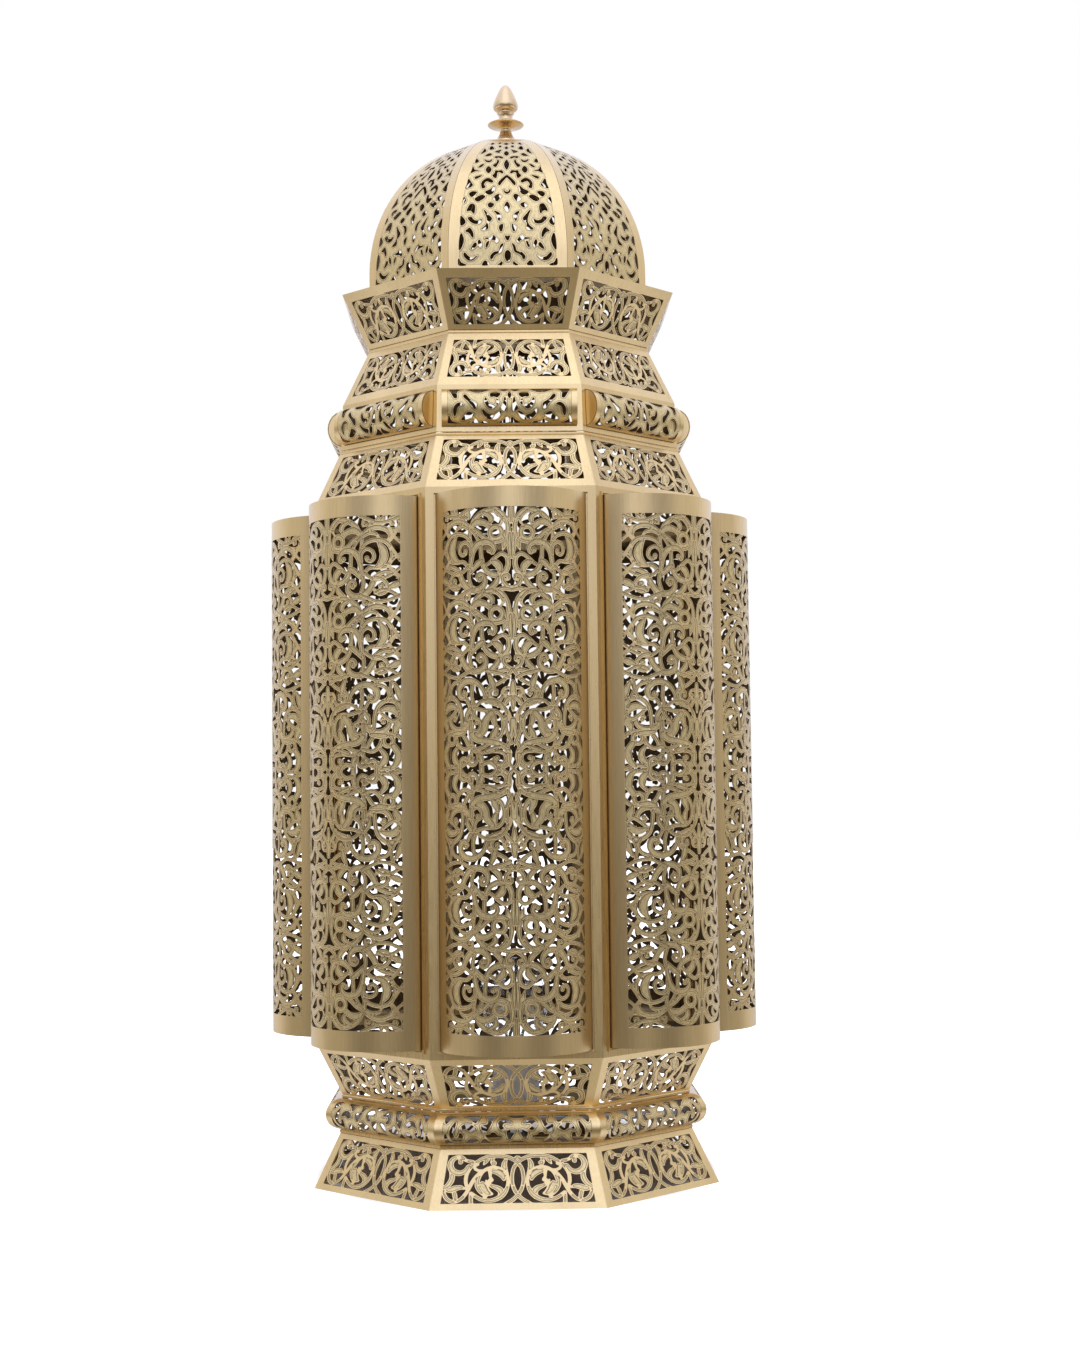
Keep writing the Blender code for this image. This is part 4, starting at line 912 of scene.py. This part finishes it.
def build_body_panels(material):
    """Eight bowed panels, one of them the door: a pierced arc with returned edges and half-moon ends."""
    node = "body_panel_1"
    low, high = (np.array(corner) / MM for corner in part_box(node))
    half_chord, reach, back = high[0], -low[1], -high[1]
    points = cad_points(node)
    edge = points[points[:, 0] > half_chord - HAIR]
    chord = -edge[:, 1].min()
    rise = reach - chord
    radius = (half_chord**2 + rise**2) / (2 * rise)
    centre = reach - radius
    half_turn = math.acos((chord - centre) / radius)
    arc = radius * half_turn
    width = arc + chord - back
    half = (high[2] - low[2]) / 2
    middle = (high[2] + low[2]) / 2
    zone_x, zone_y = PANEL_ZONE
    drawn = moved(PANEL_END + PANEL_UPPER + moved(PANEL_UPPER, PANEL_UNIT) + moved(PANEL_MIDDLE, 2 * PANEL_UNIT),
                  zone_y, -zone_y / PANEL_DRAWN)

    def plain(p):
        return np.minimum(zone_x - p[:, 0], zone_y - p[:, 1])

    def inside(p, margin):
        return (p[:, 0] < width - margin) & (p[:, 1] < half - margin)

    def place(p, depth):
        turn = np.clip(p[:, 0], -arc, arc) / radius
        over = np.abs(p[:, 0]) - np.abs(turn) * radius
        out = centre + (radius - depth) * np.cos(turn) - over
        return np.stack([(radius - depth) * np.sin(turn), -out, middle + p[:, 1]], 1)

    cut, line = drawing(width, half, plain, scrolls=drawn)
    outline = outline_row((width, width), (0, half))
    flat = mirrored(*flat_mesh(cut, line, outline, inside, plain), axis=0)
    flat = mirrored(*flat, axis=1)
    sheet = sheet_mesh(*flat, place, THIN_WALL)
    turns = np.linspace(-half_turn, half_turn, 33)
    inset = radius - THIN_WALL / 2
    row = [(inset * math.sin(t), centre + inset * math.cos(t)) for t in turns]
    row = np.array([(row[0][0], back)] + row + [(row[-1][0], back)])
    plates = []
    for sign in (-1, 1):
        def end(p, depth, sign=sign):
            z = np.full(len(p), middle + sign * (half - HAIR - depth))
            return np.stack([p[:, 0], -p[:, 1], z], 1)

        plates.append(plate(row, end, THIN_WALL))
    mesh = make_mesh("panel_pierced", *with_plates(sheet, plates), material)
    for side in range(1, SIDES + 1):
        fixed = f"body_panel_{side}" in frame["nodes"]
        cad = f"body_panel_{side}" if fixed else "door_panel"
        add_object(cad + "_pierced", mesh, "lantern" if fixed else "door", cad, side=side)


def build_dome(material):
    """Eight pierced gores that curve up to the seat of the finial."""
    node = "dome_gore_1"
    low, high = (np.array(corner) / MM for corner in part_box(node))
    flat_out, foot, crown = -low[1], low[2], high[2]
    points = cad_points(node)
    spring = points[np.abs(points[:, 1] + flat_out) < HAIR][:, 2].max()
    eye = -points[points[:, 2] > crown - HAIR][:, 1].max()
    gap = flat_out * CORNER - high[0]
    last = math.acos(eye / flat_out)
    rise = (crown - spring) / math.sin(last)
    turn = np.linspace(last, 0, 400)
    out = np.concatenate([flat_out * np.cos(turn), [flat_out]])
    up = np.concatenate([spring + rise * np.sin(turn), [foot]])
    gone = np.concatenate([[0], np.cumsum(np.hypot(np.diff(out), np.diff(up)))])
    length = gone[-1]
    top, bottom = DOME_ZONE

    def half_width(y):
        return np.interp(y, gone, out) * CORNER - gap

    def plain(p):
        across = half_width(p[:, 1]) - DOME_STRIP - p[:, 0]
        return np.minimum(across, np.minimum(p[:, 1] - top, bottom - p[:, 1]))

    def inside(p, margin):
        return (p[:, 0] < half_width(p[:, 1]) - margin) & (p[:, 1] > margin) & (p[:, 1] < length - margin)

    def place(p, depth):
        o, u = along(gone, out, up, p[:, 1], depth)
        shrink = o / np.interp(p[:, 1], gone, out)
        return np.stack([p[:, 0] * shrink, -o, u], 1)

    rows = np.linspace(0, length, 47)
    cut, line = drawing(flat_out * CORNER, length, plain, holes=DOME)
    outline = outline_row(tuple(half_width(rows)), tuple(rows))
    flat = mirrored(*flat_mesh(cut, line, outline, inside, plain), axis=0)
    mesh = make_mesh("gore_pierced", *sheet_mesh(*flat, place, THIN_WALL), material)
    for side in range(1, SIDES + 1):
        add_object(f"dome_gore_{side}_pierced", mesh, "lantern", f"dome_gore_{side}", side=side)


def strip_frame(section, low, high, front):
    """A closed strip of a given section round a rectangle, mitred at its corners."""
    corners = np.array([(high[0], low[2]), (high[0], high[2]), (-high[0], high[2]), (-high[0], low[2])])
    away = np.sign(corners - corners.mean(0))
    verts = []
    for off, behind in section:
        ring = corners + off * away
        verts.append(np.stack([ring[:, 0], np.full(4, behind - front), ring[:, 1]], 1))
    n = len(section)
    faces = []
    for a in range(n):
        b = (a + 1) % n
        for k in range(4):
            j = (k + 1) % 4
            faces += [(a * 4 + k, a * 4 + j, b * 4 + j), (a * 4 + k, b * 4 + j, b * 4 + k)]
    return np.vstack(verts), np.array(faces)


def build_window_strips(material):
    """The turned-out lips that hold the fixed panels in the frame, and the stop that the door shuts against."""
    low, high = (np.array(corner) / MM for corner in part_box("body_panel_1"))
    front = band_ends("body_frame")[0][1]
    for name, section in (("panel_flange", FLANGE), ("door_stop", DOOR_STOP)):
        verts, faces = strip_frame(section, low, high, front)
        mesh = make_mesh(name, verts, faces, np.zeros(len(verts)), material)
        for side in range(1, SIDES + 1):
            fixed = f"body_panel_{side}" in frame["nodes"]
            if name == ("panel_flange" if fixed else "door_stop"):
                add_object(f"{name}_{side}", mesh, "lantern", slot="plain_brass", side=side)


def build_turned(material):
    """The finial and its seat, turned finer than in the CAD."""
    for node, profile, body in (("finial", FINIAL, "finial"), ("finial_seat", FINIAL_SEAT, "lantern")):
        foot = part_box(node)[0][2] / MM
        turn = np.arange(ROUND) * 2 * math.pi / ROUND
        verts, faces = [], []
        for r, z in profile:
            verts += [(r * math.cos(t), r * math.sin(t), foot + z) for t in turn]
        n = len(profile)
        for i in range(n):
            j = (i + 1) % n
            for k in range(ROUND):
                beside = (k + 1) % ROUND
                a, b, c, d = i * ROUND + k, i * ROUND + beside, j * ROUND + beside, j * ROUND + k
                if profile[j][0] > 0:
                    faces.append((a, b, c))
                if profile[i][0] > 0:
                    faces.append((a, c, d))
        mesh = make_mesh(node + "_turned", np.array(verts), np.array(faces), np.zeros(len(verts)), material)
        add_object(node + "_turned", mesh, body, node, slot="turned_brass")


# ---------------------------------------------------------------- materials
LIGHT_BRASS = (0.83, 0.60, 0.275)
SHADED_BRASS = (0.66, 0.47, 0.215)
FOLD = 0.0005                          # half width of the eased folds and edges of plain parts, in metres


def new_material(name):
    """A node material and its Principled shader."""
    material = bpy.data.materials.new(name)
    material.use_nodes = True
    tree = material.node_tree
    return material, tree, tree.nodes["Principled BSDF"]


def noise(tree, scale, stretch=(1, 1, 1), detail=3.0, roughness=0.55):
    """A noise texture in object coordinates. Returns its factor socket."""
    place = tree.nodes.new("ShaderNodeTexCoord")
    squeeze = tree.nodes.new("ShaderNodeMapping")
    squeeze.inputs["Scale"].default_value = stretch
    texture = tree.nodes.new("ShaderNodeTexNoise")
    texture.inputs["Scale"].default_value = scale
    texture.inputs["Detail"].default_value = detail
    texture.inputs["Roughness"].default_value = roughness
    tree.links.new(place.outputs["Object"], squeeze.inputs["Vector"])
    tree.links.new(squeeze.outputs["Vector"], texture.inputs["Vector"])
    return texture.outputs["Fac"]


def ramp(tree, source, stops):
    """A colour ramp from (position, colour) stops."""
    node = tree.nodes.new("ShaderNodeValToRGB")
    marks = node.color_ramp.elements
    while len(marks) < len(stops):
        marks.new(0.5)
    for mark, (position, color) in zip(marks, stops):
        mark.position = position
        mark.color = (*color, 1.0)
    tree.links.new(source, node.inputs["Fac"])
    return node.outputs["Color"]


def mix(tree, factor, first, second, blend="MIX"):
    """A blend of two colours, each a tuple or a socket."""
    node = tree.nodes.new("ShaderNodeMix")
    node.data_type = "RGBA"
    node.blend_type = blend
    for socket, value in ((node.inputs[0], factor), (node.inputs[6], first), (node.inputs[7], second)):
        if isinstance(value, (int, float)):
            socket.default_value = value
        elif isinstance(value, tuple):
            socket.default_value = (*value, 1.0)
        else:
            tree.links.new(value, socket)
    return node.outputs[2]


def scaled(tree, source, low, high, from_low=0.0, from_high=1.0):
    """The source carried from one range to another, and held at its ends."""
    node = tree.nodes.new("ShaderNodeMapRange")
    node.inputs["From Min"].default_value = from_low
    node.inputs["From Max"].default_value = from_high
    node.inputs["To Min"].default_value = low
    node.inputs["To Max"].default_value = high
    tree.links.new(source, node.inputs["Value"])
    return node.outputs["Result"]


def bump(tree, shader, source, distance, strength):
    """Relief of a given height in metres, on a shader's surface."""
    node = tree.nodes.new("ShaderNodeBump")
    node.inputs["Distance"].default_value = distance
    node.inputs["Strength"].default_value = strength
    tree.links.new(source, node.inputs["Height"])
    tree.links.new(node.outputs["Normal"], shader.inputs["Normal"])


def brass(name, light, dark, roughness, streaks=(60, 60, 4), lacquer=0.35):
    """Satin antiqued brass: cloudy patina, fine brushing along the streaks and a thin clear lacquer."""
    material, tree, shader = new_material(name)
    shader.inputs["Metallic"].default_value = 1.0
    shader.inputs["Coat Weight"].default_value = lacquer
    shader.inputs["Coat Roughness"].default_value = 0.22
    cloud = noise(tree, 3.0, tuple(0.5 + 0.1 * s for s in streaks), detail=6.0)
    brushed = noise(tree, 14, streaks, detail=2.0, roughness=0.45)
    tone = mix(tree, 0.35, cloud, brushed)
    color = ramp(tree, tone, [(0.32, dark), (0.66, light)])
    tree.links.new(color, shader.inputs["Base Color"])
    low, high = roughness
    tree.links.new(scaled(tree, brushed, low, high, 0.2, 0.8), shader.inputs["Roughness"])
    return material, tree, shader, color


def engraved_brass():
    """Brass sheet: bright rims beside the cuts, a dark line painted as the shade of the engraved groove, a hatched
    ground, and an inner face painted dark as shade.
    """
    material, tree, shader, color = brass("engraved_brass", LIGHT_BRASS, SHADED_BRASS, (0.27, 0.40))
    mark = tree.nodes.new("ShaderNodeAttribute")
    mark.attribute_name = "engraved"
    depth = scaled(tree, mark.outputs["Fac"], 0.0, 1.0, -1.0, 1.0)
    hatch = noise(tree, 900, (1, 1, 0.35), detail=1.0)
    ground = ramp(tree, hatch, [(0.36, (0.63, 0.47, 0.215)), (0.60, (0.76, 0.59, 0.27))])
    on_ground = ramp(tree, depth, [(0.90, (0, 0, 0)), (0.97, (1, 1, 1))])
    # painted shade: a dark line along the foot of every rim, and along a scroll's edge where another passes under it,
    # stands in for the shade in the groove
    groove_painted_shade = ramp(tree, depth, [(0.76, (0, 0, 0)), (0.80, (1, 1, 1)), (0.94, (1, 1, 1)), (0.99, (0, 0, 0))])
    # painted shade: the inner face, and the cut walls towards it, are coloured dark brown as the shade inside the
    # lantern, and made rougher
    inner_face_painted_shade = ramp(tree, depth, [(0.1, (1, 1, 1)), (0.44, (0, 0, 0))])
    face = mix(tree, on_ground, color, ground)
    face = mix(tree, groove_painted_shade, face, (0.20, 0.14, 0.07))
    face = mix(tree, inner_face_painted_shade, face, (0.185, 0.125, 0.055))
    tree.links.new(face, shader.inputs["Base Color"])
    rough = mix(tree, on_ground, (0.33, 0.33, 0.33), (0.46, 0.46, 0.46))
    rough = mix(tree, inner_face_painted_shade, rough, (0.6, 0.6, 0.6))
    tree.links.new(rough, shader.inputs["Roughness"])
    cut = ramp(tree, depth, [(0.5, (0.8, 0.8, 0.8)), (0.60, (1, 1, 1)), (0.70, (1, 1, 1)), (0.83, (0, 0, 0)),
                             (0.95, (0.6, 0.6, 0.6))])
    bump(tree, shader, cut, 0.0002, 0.4)
    return material


def plain_metal(name, light, dark, roughness, metallic=1.0, scale=60):
    """A finely grained surface, also for what is not metal."""
    material, tree, shader = new_material(name)
    shader.inputs["Metallic"].default_value = metallic
    grain = noise(tree, scale, detail=4.0)
    tree.links.new(ramp(tree, grain, [(0.3, dark), (0.7, light)]), shader.inputs["Base Color"])
    tree.links.new(scaled(tree, grain, *roughness, 0.3, 0.7), shader.inputs["Roughness"])
    bump(tree, shader, grain, 0.00005, 0.4)
    return material


def bulb_glass():
    """Clear glass."""
    material, tree, shader = new_material("clear_glass")
    grain = noise(tree, 30)
    tint = ramp(tree, grain, [(0.3, (0.97, 0.98, 0.98)), (0.7, (1.0, 1.0, 1.0))])
    tree.links.new(tint, shader.inputs["Base Color"])
    shader.inputs["Roughness"].default_value = 0.02
    shader.inputs["Transmission Weight"].default_value = 1.0
    shader.inputs["IOR"].default_value = 1.45
    return material


# ---------------------------------------------------------------- build
PIERCED = engraved_brass()
PLAIN = brass("plain_brass_satin", LIGHT_BRASS, SHADED_BRASS, (0.24, 0.36))[0]
TURNED = brass("turned_brass_satin", (0.78, 0.57, 0.32), (0.66, 0.46, 0.24), (0.26, 0.32), (3, 3, 80))[0]
STEEL = plain_metal("nickel_plate", (0.72, 0.71, 0.69), (0.55, 0.54, 0.52), (0.28, 0.42))
# painted shade: the porcelain is coloured a darker beige than white glaze, as it looks in the shade inside the
# lantern
CHINA = plain_metal("glazed_porcelain_painted_shade", (0.70, 0.64, 0.54), (0.62, 0.56, 0.46), (0.12, 0.20), 0.0, 25)
RUBBER = plain_metal("black_rubber", (0.035, 0.035, 0.035), (0.015, 0.015, 0.015), (0.55, 0.75), 0.0, 90)
GLASS = bulb_glass()
BY_SLOT = {"plain_brass": PLAIN, "turned_brass": TURNED, "plated_steel": STEEL, "porcelain": CHINA,
           "black_bush": RUBBER, "bulb_glass": GLASS, "pierced_brass": PIERCED}
for subpart in frame["record"]["subparts"]:
    slots = frame["nodes"][subpart["node"]].data.materials
    slots.clear()
    slots.append(BY_SLOT[subpart["material_slot"]])

EASED = ("base_rim", "base_seam_ring", "lower_cone_seam_ring", "body_frame", "shoulder_seam_ring",
         "upper_bead_frame", "crown_seam_ring", "dome_base_ring")
for name in EASED:
    ease = frame["nodes"][name].modifiers.new("eased_folds", "BEVEL")
    ease.width = FOLD
    ease.segments = 2
    ease.limit_method = "ANGLE"
    ease.angle_limit = math.radians(30)
    ease.harden_normals = True

for node, strip, height, flipped in BANDS:
    build_band(node, strip, height, flipped, PIERCED)
build_lower_bead(PIERCED)
build_upper_beads(PIERCED)
build_body_panels(PIERCED)
build_dome(PIERCED)
build_window_strips(PLAIN)
build_turned(TURNED)


# ---------------------------------------------------------------- stage
def add_stage():
    """A pale floor with a painted shadow under the lantern and behind it, glowing white by emission round it.
    Reflections see the studio air instead.
    """
    material, tree, shader = new_material("pale_floor")
    shader.inputs["Roughness"].default_value = 0.9
    shader.inputs["Emission Color"].default_value = (1.0, 1.0, 1.0, 1.0)
    place = tree.nodes.new("ShaderNodeTexCoord")
    behind, drawn_in, near, shade, under = (tree.nodes.new("ShaderNodeVectorMath") for _ in range(5))
    behind.operation, drawn_in.operation, near.operation = "MAXIMUM", "MULTIPLY", "SUBTRACT"
    shade.operation = under.operation = "LENGTH"
    drawn_in.inputs[1].default_value = (0.0, 0.55, 0.0)   # the painted shadow reaches further back than forward
    tree.links.new(place.outputs["Object"], behind.inputs[0])
    tree.links.new(behind.outputs[0], drawn_in.inputs[0])
    tree.links.new(place.outputs["Object"], near.inputs[0])
    tree.links.new(drawn_in.outputs[0], near.inputs[1])
    tree.links.new(near.outputs[0], shade.inputs[0])
    tree.links.new(place.outputs["Object"], under.inputs[0])
    # painted light: outside the lantern's footprint the floor glows white by emission
    glow = scaled(tree, shade.outputs["Value"], 0.0, 1.0, 0.145, 0.175)
    tree.links.new(glow, shader.inputs["Emission Strength"])
    # painted shadow: the floor's colour is grey-brown behind the lantern and dark brown under it, pale further out
    away = scaled(tree, shade.outputs["Value"], 0.0, 1.0, 0.06, 0.175)
    tone = mix(tree, away, (0.33, 0.27, 0.20), (0.86, 0.82, 0.74))
    away = scaled(tree, under.outputs["Value"], 0.0, 1.0, 0.12, 0.17)
    tone = mix(tree, away, (0.22, 0.15, 0.085), tone)
    tree.links.new(tone, shader.inputs["Base Color"])
    mesh = bpy.data.meshes.new("floor")
    far = 12.0
    mesh.from_pydata([(-far, -far, 0), (far, -far, 0), (far, far, 0), (-far, far, 0)], [], [(0, 1, 2, 3)])
    mesh.materials.append(material)
    floor = bpy.data.objects.new("floor", mesh)
    bpy.context.scene.collection.objects.link(floor)
    floor.visible_glossy = False
    floor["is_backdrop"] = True


# brightness of the studio by the sine of the elevation
FRONT_AIR = [(-1.0, 0.65), (-0.85, 0.62), (-0.6, 0.27), (-0.3, 0.18), (-0.1, 0.16), (0.0, 0.45), (0.1, 0.95),
             (0.22, 1.4), (0.5, 1.55), (0.8, 1.4), (1.0, 0.9)]
SIDE_AIR = [(-1.0, 0.45), (-0.6, 1.15), (-0.35, 1.05), (-0.15, 0.25), (-0.03, 0.25), (0.05, 0.60), (0.15, 0.85),
            (0.45, 0.80), (0.65, 1.0), (1.0, 1.3)]
BACK_AIR = [(-1.0, 0.65), (-0.4, 0.8), (-0.1, 0.75), (0.1, 1.0), (0.6, 1.1), (1.0, 1.3)]
AIR_PEAK = 2.0
DARK_WINGS = 0.75                      # how dark the studio is on both sides of the camera


def air_ramp(tree, height, stops):
    """Brightness as a colour: daylight where it is bright, warm where it is dark."""
    colors = []
    for z, v in stops:
        cool = min(max((v - 0.2) / 1.1, 0.0), 1.0)
        r, b = v * (1.08 - 0.18 * cool), v * (0.80 + 0.55 * cool)
        colors.append((0.5 + 0.5 * z, (r / AIR_PEAK, v / AIR_PEAK, b / AIR_PEAK)))
    return ramp(tree, height, colors)


def add_studio_air():
    """Plain white for the camera. For reflections and light, a studio that is dark low in front of the lantern."""
    world = bpy.data.worlds.new("studio")
    bpy.context.scene.world = world
    world.use_nodes = True
    tree = world.node_tree
    tree.nodes.clear()
    place = tree.nodes.new("ShaderNodeTexCoord")
    split = tree.nodes.new("ShaderNodeSeparateXYZ")
    tree.links.new(place.outputs["Generated"], split.inputs["Vector"])
    height = scaled(tree, split.outputs["Z"], 0.0, 1.0, -1.0, 1.0)
    beside = scaled(tree, split.outputs["Y"], 0.0, 1.0, -0.8, -0.25)
    behind = scaled(tree, split.outputs["Y"], 0.0, 1.0, 0.05, 0.5)
    sky = mix(tree, beside, air_ramp(tree, height, FRONT_AIR), air_ramp(tree, height, SIDE_AIR))
    sky = mix(tree, behind, sky, air_ramp(tree, height, BACK_AIR))
    across = tree.nodes.new("ShaderNodeMath")
    across.operation = "ABSOLUTE"
    tree.links.new(split.outputs["X"], across.inputs[0])
    lobe = ramp(tree, across.outputs[0], [(0.18, (0, 0, 0)), (0.40, (1, 1, 1)), (0.72, (1, 1, 1)), (0.90, (0, 0, 0))])
    band = ramp(tree, height, [(0.28, (0, 0, 0)), (0.40, (1, 1, 1)), (0.60, (1, 1, 1)), (0.72, (0, 0, 0))])
    ahead = scaled(tree, split.outputs["Y"], DARK_WINGS, 0.0, -0.5, 0.0)
    dark = mix(tree, 1.0, mix(tree, 1.0, lobe, band, "MULTIPLY"), ahead, "MULTIPLY")
    sky = mix(tree, dark, sky, (0.06, 0.055, 0.05))
    light = tree.nodes.new("ShaderNodeBackground")
    light.inputs["Strength"].default_value = AIR_PEAK
    tree.links.new(sky, light.inputs["Color"])
    white = tree.nodes.new("ShaderNodeBackground")
    white.inputs["Color"].default_value = (1, 1, 1, 1)
    white.inputs["Strength"].default_value = 1.0
    path = tree.nodes.new("ShaderNodeLightPath")
    both = tree.nodes.new("ShaderNodeMixShader")
    tree.links.new(path.outputs["Is Camera Ray"], both.inputs["Fac"])
    tree.links.new(light.outputs["Background"], both.inputs[1])
    tree.links.new(white.outputs["Background"], both.inputs[2])
    out = tree.nodes.new("ShaderNodeOutputWorld")
    tree.links.new(both.outputs["Shader"], out.inputs["Surface"])


def add_softbox(name, place, aim, size, power):
    """A cool square light."""
    data = bpy.data.lights.new(name, "AREA")
    data.shape = "RECTANGLE"
    data.size, data.size_y = size
    data.energy = power
    data.color = (0.88, 0.96, 1.25)
    lamp = bpy.data.objects.new(name, data)
    lamp.location = place
    lamp.rotation_euler = (Vector(aim) - Vector(place)).to_track_quat("-Z", "Y").to_euler()
    bpy.context.scene.collection.objects.link(lamp)


def add_camera():
    """The photograph's viewpoint: level with the lower third, tilted slightly up."""
    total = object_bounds()[1][2]
    data = bpy.data.cameras.new("camera")
    data.sensor_width = 36.0
    data.lens = 52.33
    camera = bpy.data.objects.new("camera", data)
    pitch, roll, swing = math.radians(3.70), math.radians(-0.659), math.radians(-1.109)
    spot = Vector((0.02615, -1.7965, 0.3309)) * total
    turn = Matrix.Rotation(swing, 4, "Z")
    look = Matrix.Rotation(math.pi / 2 + pitch, 4, "X") @ Matrix.Rotation(roll, 4, "Z")
    camera.matrix_world = turn @ Matrix.Translation(spot) @ look
    bpy.context.scene.collection.objects.link(camera)
    bpy.context.scene.camera = camera


add_stage()
add_studio_air()
add_softbox("overhead", (0.0, -0.9, 2.6), (0, 0, 0.4), (1.4, 1.4), 2.5)
add_camera()
bpy.context.scene.view_settings.view_transform = "Standard"
